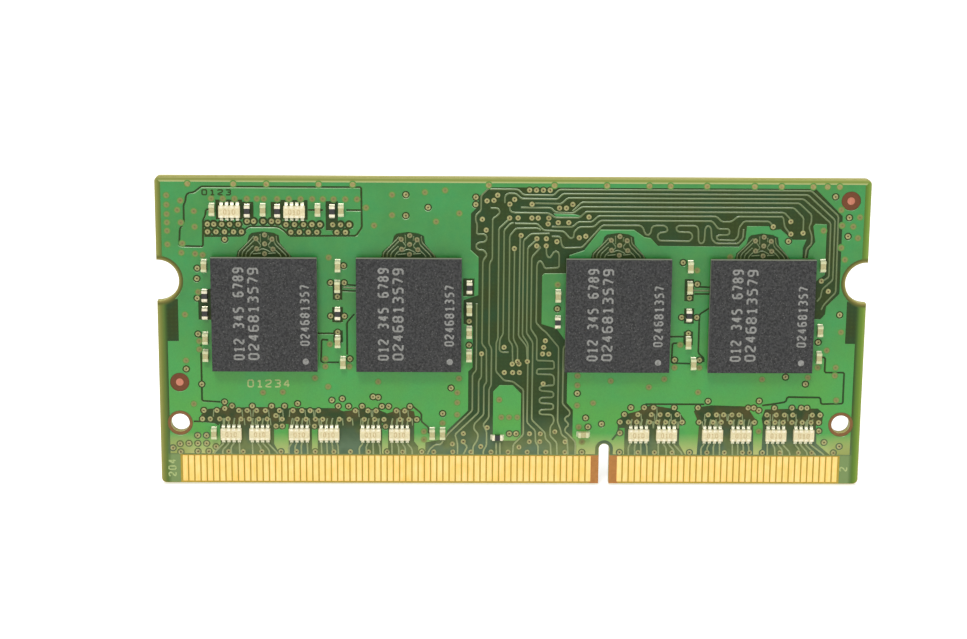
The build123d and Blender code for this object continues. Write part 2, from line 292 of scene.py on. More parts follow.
def mask_over_laminate():
    """The board's own mask: olive at the rim, where light comes through, and dark inside, with a painted
    highlight line along the top.
    """
    shader = Shader("mask_over_laminate", roughness=0.42, specular=0.2)
    weave = shader.math("MULTIPLY", shader.waves(0.75, "X"), shader.waves(0.75, "Z"))
    dark = shader.mix(shader.spread(weave, 0.0, 1.0, 0.0, 0.22), srgb(42, 56, 12), srgb(60, 82, 30))
    patch = shader.spread(shader.noise(0.45, 3.0), 0.35, 0.7, 0.0, 0.55)
    dark = shader.mix(patch, dark, srgb(24, 66, 38))
    low = shader.spread(shader.axis("Z"), 3.6, 7.0, 0.9, 0.0)
    low = shader.math("MULTIPLY", low, shader.spread(patch, 0.1, 0.5, 1.0, 0.62))
    cool = shader.spread(shader.noise(0.35, 2.0, 0.5), 0.42, 0.6)
    dark = shader.mix(low, dark, shader.mix(cool, srgb(108, 120, 72), srgb(88, 110, 84)))
    # Among the crowded via rows low on the board, the mask turns browner in blotches: painted shade from the
    # vias.
    crowded = near(shader, shader.off(shader.axis("Z"), 6.8), 1.0, 0.4)
    outer = shader.spread(shader.math("ABSOLUTE", shader.axis("X")), 8.5, 9.5, 0.0, 0.75)
    blotch = shader.spread(shader.noise(0.7, 2.0, 0.5), 0.38, 0.62)
    crowd_shade_colour = shader.mix(blotch, srgb(38, 60, 26), srgb(76, 68, 30))
    dark = shader.mix(shader.math("MULTIPLY", crowded, outer), dark, crowd_shade_colour)
    beside_contacts = shader.spread(shader.axis("Z"), WINDOW_TOP - 0.1, WINDOW_TOP + 0.1, 1.0, 0.0)
    dark = shader.mix(beside_contacts, dark, srgb(112, 134, 82))
    distance = edge_distance(shader)
    left = shader.ramp(distance, LEFT_RIM)
    right = shader.ramp(distance, RIGHT_RIM)
    rim = shader.mix(shader.spread(shader.axis("X"), -30.0, 30.0), left, right)
    along_top = shader.spread(shader.math("SUBTRACT", BOARD_HEIGHT - 0.02, shader.axis("Z")), 0.0, 1.0)
    on_top = shader.math("LESS_THAN", along_top, distance)
    # Along the top, the ramp carries a painted highlight line.
    rim = shader.mix(on_top, rim, shader.mix(0.45, shader.ramp(along_top, TOP_RIM_WITH_HIGHLIGHT), rim))
    inside = shader.spread(distance, 0.6, 1.0)
    colour = shader.mix(inside, rim, dark)
    latch = ring_distance(shader, LATCH_X, LATCH_Z)
    latch_colour = shader.mix(shader.spread(latch, 2.0, 2.25), srgb(146, 132, 72), srgb(88, 90, 34))
    colour = shader.mix(near(shader, latch, 2.38, 0.12), colour, latch_colour)
    grain = shader.noise(9.0, 3.0, 0.7)
    return shader.finish(colour, None, shader.blend(0.6, weave, grain), depth=0.005, strength=0.3)


def mask_over_trace():
    """Mask on a narrow trace: duller than on a pour, and paler near the contacts."""
    shader = Shader("mask_over_trace", roughness=0.3, specular=0.6, coat=0.15)
    low = shader.spread(shader.axis("Z"), 3.5, 9.0, 1.0, 0.0)
    base = shader.mix(low, srgb(92, 108, 58), srgb(142, 152, 98))
    grain = shader.noise(5.0, 3.0, 0.7)
    colour = shader.mix(shader.spread(grain, 0.35, 0.8, 0.0, 0.5), base, srgb(72, 92, 46))
    # The trace's upward-facing edges get a painted highlight.
    return shader.finish(painted_edge_highlight(shader, colour), None, grain, depth=0.004, strength=0.3)


def laminate(name, light, dark):
    """Woven glass and resin, with the layers showing on a cut edge."""
    shader = Shader(name, roughness=0.55, specular=0.35)
    layers = shader.waves(2.4, "Y")
    weave = shader.noise(3.0, 4.0, 0.6, (1, 4, 1))
    colour = shader.mix(shader.blend(0.6, layers, weave), dark, light)
    return shader.finish(colour, None, weave, depth=0.01, strength=0.4)


def outer_laminate():
    """The sheet under the mask: olive at the cut edges, brown where the mask leaves it open."""
    shader = Shader("laminate_outer", roughness=0.5, specular=0.35)
    weave = shader.noise(3.0, 4.0, 0.6, (1, 4, 1))
    cut = shader.mix(weave, srgb(128, 122, 54), srgb(172, 168, 90))
    window = shader.mix(weave, srgb(150, 130, 36), srgb(184, 156, 54))
    beside_key = near(shader, shader.off(shader.axis("X"), KEY_X), 1.4)
    window = shader.mix(beside_key, window, shader.mix(weave, srgb(146, 94, 38), srgb(184, 124, 60)))
    in_window = shader.spread(shader.axis("Z"), WINDOW_TOP, WINDOW_TOP + 0.1, 1.0, 0.0)
    colour = shader.mix(in_window, cut, window)
    hole = near(shader, ring_distance(shader, HOLE_X, HOLE_Z), 1.3)
    colour = shader.mix(hole, colour, shader.mix(weave, srgb(106, 69, 30), srgb(132, 91, 44)))
    for x, z in ALIGNMENT_MARKS:
        mark = near(shader, ring_distance(shader, abs(x), z), 1.0)
        colour = shader.mix(mark, colour, shader.mix(weave, srgb(94, 46, 14), srgb(110, 60, 22)))
    return shader.finish(colour, None, weave, depth=0.01, strength=0.4)


def plated(name, light, dark, roughness=0.3, metallic=1.0):
    """Metal with fine rubbing marks along Z."""
    shader = Shader(name, roughness=roughness, metallic=metallic)
    streaks = shader.noise(7.0, 4.0, 0.7, (1, 1, 0.06))
    cloud = shader.noise(0.8, 2.0)
    colour = shader.mix(shader.spread(shader.blend(0.4, streaks, cloud), 0.35, 0.65), dark, light)
    rough = shader.spread(streaks, 0.3, 0.7, roughness * 0.8, roughness * 1.3)
    return shader.finish(colour, rough, streaks, depth=0.004, strength=0.3)


def soft_metal(name, light, dark, roughness=0.35, metallic=0.85):
    """Tin or solder: a finely crystalled, slightly lumpy skin."""
    shader = Shader(name, roughness=roughness, metallic=metallic)
    lumps = shader.noise(5.0, 3.0, 0.6)
    colour = shader.mix(shader.spread(lumps, 0.3, 0.7), dark, light)
    rough = shader.spread(shader.noise(16.0, 2.0), 0.3, 0.7, roughness * 0.8, roughness * 1.3)
    return shader.finish(colour, rough, lumps, depth=0.015, strength=0.4)


def ceramic(name, light, dark, roughness=0.45, coat=0.1):
    """A finely grained, slightly glazed solid."""
    shader = Shader(name, roughness=roughness, specular=0.4, coat=coat)
    grain = shader.noise(6.0, 4.0, 0.65)
    colour = shader.mix(shader.spread(grain, 0.3, 0.7), dark, light)
    return shader.finish(colour, None, grain, depth=0.006, strength=0.35)


def moulding():
    """Filled black moulding compound: a fine grit with pale filler specks, and greyer on its sides: partly
    their saw-cut finish and partly a painted reflection of the bright room.
    """
    shader = Shader("moulding_compound", roughness=0.55, specular=0.4)
    grit = shader.noise(4.5, 4.0, 0.75)
    blotch = shader.noise(0.9, 3.0, 0.6)
    base = shader.mix(shader.spread(grit, 0.4, 0.6), srgb(8, 8, 7), srgb(60, 60, 59))
    base = shader.mix(shader.spread(blotch, 0.3, 0.7, 0.0, 0.35), base, srgb(36, 36, 40))
    speck = shader.spread(shader.cells(3.6), 0.08, 0.2, 0.5, 0.0)
    colour = shader.mix(speck, base, srgb(118, 118, 116))
    # Faces that do not look along Y turn paler grey: partly their saw-cut finish, partly a painted
    # reflection.
    sawn_side_and_sheen = shader.spread(shader.math("ABSOLUTE", shader.facing("Y")), 0.4, 0.6, 1.0, 0.0)
    saw_marks = shader.noise(3.0, 3.0, 0.6, (0.3, 3, 0.3))
    colour = shader.mix(sawn_side_and_sheen, colour, shader.mix(saw_marks, srgb(104, 107, 94), srgb(144, 146, 130)))
    rough = shader.spread(grit, 0.3, 0.7, 0.45, 0.65)
    return shader.finish(colour, rough, grit, depth=0.015, strength=0.5)


def marking(name, light, dark, roughness=0.6, low_colour=None):
    """A thin, slightly uneven layer. With low_colour, it pales to that where the pour does."""
    shader = Shader(name, roughness=roughness, specular=0.3)
    wear = shader.noise(4.5, 4.0, 0.7)
    colour = shader.mix(shader.spread(wear, 0.34, 0.6), dark, light)
    if low_colour:
        colour = shader.mix(shader.spread(shader.axis("Z"), *POUR_LOW, 1.0, 0.0), colour, low_colour)
    return shader.finish(colour, None, wear, depth=0.006, strength=0.3)


POUR = mask_over_copper()
MASK = mask_over_laminate()
TRACE = mask_over_trace()
CORE = laminate("laminate_core", srgb(190, 186, 108), srgb(150, 146, 72))
PREPREG = outer_laminate()
GOLD = plated("gold_plate", srgb(251, 214, 143), srgb(241, 195, 104), 0.36, 0.9)
COPPER = plated("bare_copper", srgb(204, 138, 114), srgb(176, 108, 86), 0.4)
TIN = soft_metal("tin_plate", srgb(238, 231, 206), srgb(210, 202, 170), 0.32, 0.4)
CREAM_TIN = soft_metal("dull_tin_plate", srgb(212, 213, 172), srgb(184, 186, 140), 0.4, 0.3)
SOLDER = soft_metal("solder", srgb(232, 230, 202), srgb(190, 188, 156), 0.32, 0.35)
MOULD = moulding()
SUBSTRATE = laminate("chip_base", srgb(76, 88, 44), srgb(38, 52, 22))
WHITE = ceramic("white_alumina", srgb(221, 210, 170), srgb(196, 184, 140), 0.45)
BLACK = ceramic("black_glaze", srgb(34, 32, 28), srgb(10, 10, 8), 0.25, 0.3)
TAN = ceramic("tan_ceramic", srgb(186, 180, 130), srgb(158, 150, 102), 0.45)
SILICON = ceramic("silicon", srgb(110, 112, 122), srgb(88, 90, 100), 0.2)
VIA_RING = marking("mask_over_via_ring", srgb(164, 161, 107), srgb(128, 124, 74), 0.35)
VIA_PLUG = marking("mask_over_via_plug", srgb(88, 66, 34), srgb(62, 46, 22), 0.4)
FAINT_RING = marking("mask_over_joined_via", srgb(118, 128, 68), srgb(122, 114, 66), 0.4)
FAINT_PLUG = marking("mask_over_joined_plug", srgb(112, 112, 62), srgb(104, 92, 50), 0.4)
PALE_RING = marking("mask_over_rim_via", srgb(150, 146, 88), srgb(130, 118, 64), 0.35)
PALE_PLUG = marking("mask_over_rim_plug", srgb(148, 140, 86), srgb(128, 104, 56), 0.35)
DIM_RING = marking("mask_over_fan_via", srgb(138, 137, 94), srgb(108, 106, 66), 0.35)
DIM_PLUG = marking("mask_over_fan_plug", srgb(92, 84, 50), srgb(72, 64, 36), 0.4)
VIA_HALO = marking(
    "mask_round_joined_vias", srgb(76, 136, 54), srgb(80, 122, 52), 0.38, low_colour=srgb(156, 154, 88)
)
LASER = marking("laser_marking", srgb(140, 140, 136), srgb(108, 108, 104))
PRINT = marking("raised_lettering", srgb(164, 178, 118), srgb(134, 152, 88))
FILM = marking("resistor_film", srgb(198, 178, 134), srgb(172, 150, 108), 0.35)

NODE_MATERIALS = {
    "board_core": CORE,
    "prepreg": PREPREG,
    "ground_plane": COPPER,
    "power_plane": COPPER,
    "solder_mask": MASK,
    "contacts": GOLD,
    "alignment_marks": COPPER,
    "silicon_dies": SILICON,
    "solder_joints": SOLDER,
    "resistor_array_terminals": TIN,
    "resistor_arrays": WHITE,
    "resistor_terminals": TIN,
    "resistors": BLACK,
    "capacitor_terminals": CREAM_TIN,
    "capacitors": TAN,
    "identity_chip_body": MOULD,
    "identity_chip_leads": TIN,
    "identity_chip_solder": SOLDER,
}
CHIP_PART_MATERIALS = {"cover": MOULD, "base": SUBSTRATE, "balls": SOLDER}


def dress_nodes():
    """Gives every CAD node its material."""
    for name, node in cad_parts.items():
        if name.startswith("memory_chip"):
            material = CHIP_PART_MATERIALS[name.rsplit("_", 1)[1]]
        else:
            stem = next(stem for stem in NODE_MATERIALS if name.startswith(stem))
            material = NODE_MATERIALS[stem]
        for slot in node.material_slots:
            slot.material = material
        if not node.material_slots:
            node.data.materials.append(material)


# ---------------------------------------------------------------- flat shapes and pieces
ROUND_SIDES = 14  # of a via and its clearance


def box_shape(x0, z0, x1, z1):
    return [(x0, z0), (x1, z0), (x1, z1), (x0, z1)]


def disc_shape(x, z, radius, sides=ROUND_SIDES):
    turns = [2 * math.pi * (i + 0.5) / sides for i in range(sides)]
    return [(x + radius * math.cos(t), z + radius * math.sin(t)) for t in turns]


def shifted(points, dx):
    return [(x + dx, z) for x, z in points]


def softened(points, cut):
    """The polyline with each inner corner cut off, so that it bends in two steps."""
    points = [Vector(p) for p in points]
    made = [points[0]]
    for before, corner, after in zip(points, points[1:], points[2:]):
        for other in (before, after):
            arm = other - corner
            made.append(corner + arm.normalized() * min(cut, arm.length * 0.45))
    return made + [points[-1]]


def mitres(points):
    """For each point of a polyline: the point, a unit arrow to its left, and the cosine of half its turn."""
    for i, point in enumerate(points):
        arrive = (point - points[i - 1]).normalized() if i else None
        leave = (points[i + 1] - point).normalized() if i + 1 < len(points) else None
        arrive, leave = arrive or leave, leave or arrive
        along = (arrive + leave).normalized()
        yield point, Vector((-along.y, along.x)), along.dot(leave)


def stroke_shape(points, width, cut=0.12):
    """The outline of a line of this width, with mitred corners that are first softened by cut."""
    points = softened(points, cut) if cut else [Vector(p) for p in points]
    left, right = [], []
    for point, aside, cosine in mitres(points):
        reach = width / 2 / max(0.5, cosine)
        left.append(point + aside * reach)
        right.append(point - aside * reach)
    return left + right[::-1]


def partition(shapes):
    """Cuts the plane up so that each place belongs to the last (kind, outline) that covers it."""
    points, faces = [], []
    for _, outline in shapes:
        outline = [Vector(p) for p in outline]
        area = sum(a.x * b.y - a.y * b.x for a, b in zip(outline, outline[1:] + outline[:1]))
        faces.append(range(len(points), len(points) + len(outline)))
        points += outline if area > 0 else outline[::-1]
    corners, _, triangles, _, _, covers = delaunay_2d_cdt(points, [], faces, 1, 1e-4)
    kinds = {}
    for triangle, cover in zip(triangles, covers):
        if cover:
            kinds.setdefault(shapes[max(cover)][0], []).append(tuple(triangle))
    return corners, kinds


def add_piece(name, vertices, faces, materials, face_materials=None):
    """A mesh piece in metres that rides on the board."""
    mesh = bpy.data.meshes.new(name)
    mesh.from_pydata([[c * MM for c in v] for v in vertices], [], faces)
    for material in materials:
        mesh.materials.append(material)
    if face_materials:
        mesh.polygons.foreach_set("material_index", face_materials)
    mesh.validate()
    piece = bpy.data.objects.new(name, mesh)
    bpy.context.scene.collection.objects.link(piece)
    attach(piece, "root")


def inward_steps(corners, triangles, rim, slope):
    """How far each point of the rim moves into the shape, so that no triangle turns over."""
    room = {}
    for triangle in triangles:
        a, b, c = (corners[i] for i in triangle)
        double_area = (b - a).cross(c - a)
        height = double_area / max((b - a).length, (c - b).length, (a - c).length)
        for i in triangle:
            room[i] = min(room.get(i, slope), 0.3 * abs(height))
    steps = {}
    for a, b in rim:
        along = (corners[b] - corners[a]).normalized()
        for i in (a, b):
            steps[i] = steps.get(i, Vector((0, 0))) + Vector((-along.y, along.x))
    return {i: step.normalized() * room[i] for i, step in steps.items()}


def relief(name, side, corners, triangles, low, high, material, slope=0.0):
    """A closed slab over these triangles, from low to high above the middle of the board.

    Its sides lean inwards by up to slope.
    """
    used = sorted({i for triangle in triangles for i in triangle})
    index = {old: new for new, old in enumerate(used)}
    edges = {edge for triangle in triangles for edge in zip(triangle, triangle[1:] + triangle[:1])}
    rim = [(a, b) for a, b in edges if (b, a) not in edges]
    steps = inward_steps(corners, triangles, rim, slope) if slope else {}
    bottom = [corners[i] for i in used]
    top = [corners[i] + steps[i] if i in steps else corners[i] for i in used]
    vertices = [(p.x, side * y, p.y) for y, level in ((low, bottom), (high, top)) for p in level]
    count = len(used)
    faces = []
    for triangle in triangles:
        a, b, c = (index[i] for i in triangle)
        faces.append((c, b, a))
        faces.append((a + count, b + count, c + count))
    for a, b in sorted(rim):
        a, b = index[a], index[b]
        faces.append((a, b, b + count, a + count))
    if side == BACK:
        faces = [face[::-1] for face in faces]
    add_piece(name, vertices, faces, [material])


# ---------------------------------------------------------------- vias
# Plated holes in a clearance of their own, as rows: z, then the x of each.
RINGED_VIAS = (
    (25.45, (-28.9, -28.3, -27.55, -26.8, -26.0, -21.5, -20.7, -19.85, -19.05, -18.3, -17.1, -16.35,
             -15.55)),
    (25.75, (-25.15, -24.55, -23.65, -22.85, -22.25)),
    (24.72, (-28.9, -28.1, -27.3, -26.45, -25.7, -21.05, -20.25, -19.4, -18.6, -16.7, -15.9)),
    (7.25, (-29.6, -28.35, -26.25, -25.45, -24.55, -23.7, -22.35, -21.05, -20.2, -19.4, -18.6,
            -15.05, -13.85, -13.05, -11.1, -10.3)),
    (6.4, (-29.75, -29.0, -28.1, -27.3, -26.05, -25.25, -24.35, -23.55, -22.1, -20.65, -19.8,
           -18.9, -18.2, -16.6, -15.65, -14.2, -13.2, -12.3, -10.75, -9.9, -9.15)),
    (7.45, (-27.6,)),
    (7.7, (-26.9, -24.95, -23.1, -21.85, -16.7, -15.7, -14.4, -12.5, -11.85, -9.8)),
    (5.7, (-22.7, -22.1, -19.0, -12.15)),
    (4.75, (-30.25, -29.4)),
    (3.95, (-31.1, -30.25, -29.4)),
    (3.63, (-28.5,)),
    (6.95, (10.9, 12.2, 13.5, 14.35, 15.1, 16.0, 19.0, 19.8, 20.5, 21.3, 22.0, 24.7, 25.6, 26.4,
            27.2, 29.1, 29.85)),
    (6.2, (10.5, 11.3, 12.1, 13.35, 14.1, 14.9, 15.7, 16.5, 18.15, 19.5, 20.3, 21.2, 22.2, 23.5,
           24.7, 25.5, 26.3, 27.15, 28.15, 29.0, 29.75)),
    (7.65, (11.5, 12.8, 13.7, 15.7, 18.0, 22.85, 23.4, 25.4, 27.1, 28.0, 28.55)),
    (3.15, (-30.25, -29.2, -27.3, -25.9, -24.1, -22.25, -20.75, -18.95, -17.15, -15.55, -13.8,
            -12.0, -10.5, -8.65, -7.5, -5.65, -3.9, -1.95, -0.3, 1.55, 3.35, 5.2, 6.85, 10.5, 12.3,
            13.9, 15.6, 17.3, 19.0, 20.7, 22.45, 23.15, 24.4, 26.1, 27.9, 29.2, 31.3)),
    (28.85, (1.45, 2.1, 2.75, 3.4)),
    (27.5, (-0.4, 1.7, 5.55)),
    (27.15, (4.3, 4.95)),
    (26.18, (-0.4, 0.4, 1.7, 2.3, 3.3)),
    (25.75, (4.2, 5.2)),
    (24.2, (2.2, 3.1)),
    (23.5, (2.2, 3.1)),
    (12.95, (-2.95, 2.9, 3.5)),
    (12.2, (0.5, 1.45)),
    (11.1, (-0.75, 0.05, 0.7)),
    (5.0, (-4.65, -0.2, 0.45, 1.75, 2.8)),
    (4.2, (-4.65, 1.75, 2.75, 5.2)),
    (18.5, (-16.7, 16.85)),
    (16.6, (-17.35, -16.05, 16.15, 17.6)),
    (19.85, (-17.35, -16.05, 17.55)),
    (15.02, (-16.7, 16.85)),
    (12.4, (-15.55, 15.6, 18.0)),
    (28.35, (-10.2, 30.4)),
    (26.35, (-10.2, 31.8)),
    (10.0, (3.0,)),
    (11.95, (0.0, 0.65)),
    (13.6, (3.0,)),
)
# The same, on their own.
LONE_VIAS = (
    (-27.3, 24.0), (-29.95, 21.2), (-30.0, 20.2), (-30.0, 18.3), (-30.0, 14.8), (-31.2, 11.35),
    (-29.75, 9.85), (-8.1, 27.15), (-3.6, 28.15), (-3.6, 27.45), (-2.55, 27.8), (-1.9, 27.85),
    (-1.55, 28.35), (0.05, 27.95), (-2.6, 25.0), (-2.98, 26.04), (3.25, 25.62), (4.1, 23.92),
    (6.83, 24.45), (0.08, 23.23), (7.1, 26.3), (6.22, 24.3), (0.7, 24.5), (-16.1, 21.5), (-4.15, 16.15),
    (-4.15, 13.8), (4.25, 17.4), (24.6, 25.45), (26.25, 25.95), (26.3, 24.75), (26.1, 24.05),
    (27.45, 24.85), (31.75, 24.55), (16.15, 21.95), (31.3, 16.9), (30.1, 19.2), (29.4, 20.2),
    (29.35, 14.2), (28.3, 10.05), (26.35, 10.75), (-0.8, 13.6), (3.15, 14.25), (7.15, 6.6), (7.4, 5.7),
    (6.3, 9.05), (8.7, 6.0), (-5.85, 9.55), (-6.65, 7.0), (-12.85, 8.6), (-20.6, 7.95), (-27.6, 8.1),
    (-17.3, 8.3), (-16.3, 8.45), (-13.35, 8.65), (18.95, 8.3), (23.9, 8.35), (23.9, 7.4), (-2.35, 5.6),
    (-2.95, 3.7), (4.2, 5.2), (0.75, 3.65), (31.85, 3.8), (-32.65, 3.5), (10.5, 5.1), (-22.7, 6.75),
    (-5.7, 3.95), (29.8, 5.35), (30.35, 4.2), (-31.95, 3.9), (-31.9, 3.1),
)
# Those that the pour runs up to.
JOINED_VIAS = (
    (-32.7, 28.2), (-32.7, 27.3), (-32.7, 26.4), (-32.7, 25.6), (-32.7, 24.8), (-32.7, 23.5),
    (-31.7, 26.8), (-31.4, 27.7), (-31.4, 25.6), (-31.3, 23.6), (-30.15, 26.7), (-30.1, 25.2),
    (-31.4, 22.7), (-30.1, 22.6), (-29.4, 22.5), (-31.2, 16.7), (-31.2, 12.2), (-29.9, 18.9),
    (-29.9, 14.1), (-29.9, 13.3), (-11.5, 28.35), (-8.4, 28.6), (-6.5, 28.8), (-11.5, 26.4),
    (-7.35, 25.8), (-5.15, 26.6), (-13.2, 25.4), (-13.95, 27.1), (-17.9, 12.4), (-17.9, 11.65),
    (-15.6, 11.65), (15.6, 11.65), (18.0, 11.65), (-17.45, 13.85), (16.1, 13.9), (-17.5, 22.3),
    (31.15, 25.6), (31.15, 23.45), (31.55, 22.3), (32.8, 26.4), (32.2, 25.5), (32.7, 24.4), (29.4, 25.1),
    (31.0, 27.1), (20.6, 22.5), (17.5, 21.2), (31.5, 15.2), (30.2, 13.4), (29.4, 11.7), (31.15, 11.7),
    (31.1, 10.9), (31.35, 8.45), (24.1, 10.5), (28.5, 10.7), (17.95, 9.2), (-30.55, 7.9), (-5.1, 10.5),
    (-5.25, 9.1), (-5.25, 8.1), (-5.25, 6.9), (-12.85, 10.15), (-17.65, 9.65), (-18.9, 10.5),
    (-23.9, 9.05), (-22.0, 9.1), (-6.65, 6.05), (-8.45, 5.2), (-8.45, 4.4), (-1.2, 8.4), (-1.0, 6.65),
    (-0.25, 6.65), (0.55, 6.65), (6.3, 10.8), (6.3, 9.85), (6.3, 7.85), (7.85, 8.1), (9.5, 10.3),
    (13.2, 9.7), (14.65, 10.5), (4.25, 19.75), (6.5, 5.7), (6.85, 4.2), (23.95, 5.3),
) + tuple(
    (x, 27.9)
    for x in (-28.5, -27.4, -26.3, -25.15, -24.2, -23.55, -22.3, -21.2, -20.1, -19.0, -18.0, -17.0,
              -15.9, -14.8)
)
# Those along the board's top edge.
RIM_VIAS = tuple(
    (x, 29.3)
    for x in (-30.7, -26.4, -23.3, -18.4, -15.2, -2.4, 3.8, 8.75, 12.75, 14.75, 18.2, 22.7, 25.25, 28.25,
              29.6, 30.75)
)
CLEARANCE_RADIUS, WIDE_CLEARANCE_RADIUS = 0.36, 0.44
COPPER_RISE = 0.03  # how far mask-covered copper stands out of bare mask
COPPER_SLOPE = 0.08  # how far its sides lean in
# A via from its edge to its middle: the radius, the height over bare mask, and which material starts there.
RINGED_PROFILE = (
    (0.25, 0.0, 0),
    (0.23, COPPER_RISE + 0.008, 0),
    (0.115, COPPER_RISE + 0.008, 0),
    (0.085, COPPER_RISE + 0.003, 1),
)
JOINED_PROFILE = (
    (0.37, 0.0, 2),
    (0.35, COPPER_RISE + 0.002, 2),
    (0.26, COPPER_RISE + 0.006, 0),
    (0.12, COPPER_RISE + 0.008, 0),
    (0.09, COPPER_RISE + 0.005, 1),
)


def ringed_vias():
    return [(x, z) for z, row in RINGED_VIAS for x in row] + list(LONE_VIAS)


def clearance(x, z):
    """The gap round a via. Gaps are wider in the crowded rows under the top resistor arrays, and join up."""
    crowded = x < -15 and 24.3 < z < 26.0
    return disc_shape(x, z, WIDE_CLEARANCE_RADIUS if crowded else CLEARANCE_RADIUS)


def via_piece(name, side, places, profile, materials):
    """Raised rings with a sunken middle, as one mesh."""
    turns = [2 * math.pi * i / ROUND_SIDES for i in range(ROUND_SIDES)]
    vertices, faces, marks = [], [], []
    for x, z in places:
        loops = []
        for radius, rise, _ in profile:
            loops.append(range(len(vertices), len(vertices) + ROUND_SIDES))
            y = side * (MASK_FACE + rise)
            vertices += [(x + radius * math.cos(turn), y, z + radius * math.sin(turn)) for turn in turns]
        for inner, outer, (_, _, mark) in zip(loops[1:], loops, profile):
            for i in range(ROUND_SIDES):
                j = (i + 1) % ROUND_SIDES
                faces.append((outer[i], outer[j], inner[j], inner[i]))
                marks.append(mark)
        faces += [tuple(loops[-1]), tuple(loops[0][::-1])]
        marks += [profile[-1][2], profile[0][2]]
    if side == BACK:
        faces = [face[::-1] for face in faces]
    add_piece(name, vertices, faces, materials, marks)


# ---------------------------------------------------------------- the front's copper artwork
TOP_ARRAY_X = (-26.8, -20.7)
ARRAY_PITCH = 0.5
# The arrays over the contacts: the middle, and how far the first and last lines below lean aside.
ARRAYS = (
    (-27.0, -0.95, 0.0), (-24.25, 0.0, 0.9), (-20.45, -0.3, 0.0), (-17.6, 0.0, 0.1), (-13.6, -0.35, 0.15),
    (-10.8, 0.0, 0.45), (12.3, -0.2, 0.1), (15.0, 0.0, 0.8), (19.45, -0.3, 0.0), (22.2, 0.0, 0.1),
    (25.6, 0.0, 0.7), (28.3, 0.4, 1.3),
)

# Where the mask has copper right under it, and then the fields in it that are bare.
POUR_OUTLINE = (
    (-33.25, 29.5), (33.2, 29.5), (33.2, 18.2), (31.95, 18.2), (31.95, 14.05), (32.9, 14.05),
    (32.9, 2.95), (-32.9, 2.95), (-32.9, 14.1), (-31.85, 14.1), (-31.85, 18.2), (-33.25, 18.2),
)
TRACE_FIELD = (
    (-2.3, 29.1), (-3.35, 28.2), (-3.35, 27.3), (-4.05, 26.6), (-4.05, 23.1), (-3.3, 22.4), (-3.3, 18.7),
    (-4.7, 18.2), (-4.7, 15.9), (-3.8, 15.6), (-3.8, 11.6), (-4.2, 11.2), (-4.2, 7.3), (-6.2, 5.3),
    (-6.3, 4.5), (-8.3, 4.1), (-8.3, 2.9), (6.3, 2.9), (6.3, 3.9), (5.9, 4.6), (5.9, 7.4), (5.3, 8.1),
    (5.3, 22.6), (6.7, 23.1), (8.2, 25.1), (11.4, 25.1), (12.4, 24.4), (13.0, 24.3), (13.7, 23.55),
    (21.4, 23.5), (22.0, 24.2), (22.1, 25.5), (24.2, 25.5), (24.4, 25.1), (25.3, 25.2), (26.5, 24.2),
    (27.8, 24.2), (27.5, 23.4), (27.5, 22.4), (28.0, 22.4), (28.1, 23.2), (28.65, 24.0), (28.4, 25.5),
    (28.6, 25.75), (29.7, 25.7), (29.7, 20.8), (28.9, 20.2), (28.9, 16.5), (29.45, 16.45), (29.85, 16.9),
    (29.95, 17.7), (31.17, 18.95), (31.15, 26.5), (28.5, 29.1),
)
CLUSTERS = (
    ((-29.9, 6.1), (-29.9, 6.8), (-29.2, 7.4), (-28.2, 7.5), (-24.0, 7.6), (-22.6, 7.55), (-22.3, 7.5),
     (-16.9, 7.5), (-16.2, 7.2), (-14.0, 7.5), (-12.9, 7.4), (-12.0, 7.0), (-10.4, 7.5), (-9.4, 7.2),
     (-9.2, 6.1), (-9.4, 6.0), (-9.4, 4.2), (-9.0, 3.7), (-9.0, 2.9), (-11.9, 2.9), (-11.9, 5.9),
     (-12.5, 6.0), (-12.5, 2.9), (-18.7, 2.9), (-18.7, 5.9), (-19.25, 5.9), (-19.25, 2.9), (-21.5, 2.9),
     (-21.5, 5.9), (-22.9, 5.9), (-22.9, 3.9), (-22.35, 2.9), (-28.8, 2.9), (-28.05, 3.9), (-28.1, 5.9)),
    ((10.95, 2.9), (16.9, 2.9), (16.25, 4.0), (16.25, 5.9), (16.8, 6.4), (16.2, 7.2), (15.8, 7.5),
     (13.4, 7.9), (12.9, 7.7), (12.2, 7.3), (11.4, 7.1), (10.9, 6.9), (10.2, 6.4), (10.3, 5.6),
     (10.95, 5.6)),
    ((18.0, 2.9), (23.5, 2.9), (23.4, 5.9), (23.6, 6.5), (22.9, 7.5), (22.6, 7.8), (19.3, 7.9),
     (18.0, 7.7), (17.6, 7.3), (17.9, 6.6), (18.15, 5.9)),
    ((24.3, 2.9), (31.0, 2.9), (29.6, 4.1), (29.5, 5.9), (30.1, 6.4), (30.1, 7.2), (29.6, 7.6),
     (27.6, 7.6), (24.5, 7.5), (24.2, 6.6), (24.35, 5.9)),
)
# Bare boxes round small parts: low x, low z, high x, high z.
PART_WINDOWS = (
    (-28.1, 25.9, -25.6, 27.8), (-25.75, 26.0, -24.55, 27.6), (-22.9, 26.0, -21.75, 27.6),
    (-22.0, 25.9, -19.45, 27.8), (-17.75, 24.9, -16.6, 27.7), (-17.2, 16.0, -16.2, 17.48),
    (-17.14, 18.2, -16.24, 19.7), (-17.1, 14.0, -16.22, 15.2), (16.38, 16.0, 17.32, 17.48),
    (16.36, 18.2, 17.24, 20.35), (16.4, 13.9, 17.28, 15.22), (-4.75, 18.6, -3.7, 20.3),
    (-29.9, 16.2, -28.7, 19.2),
)
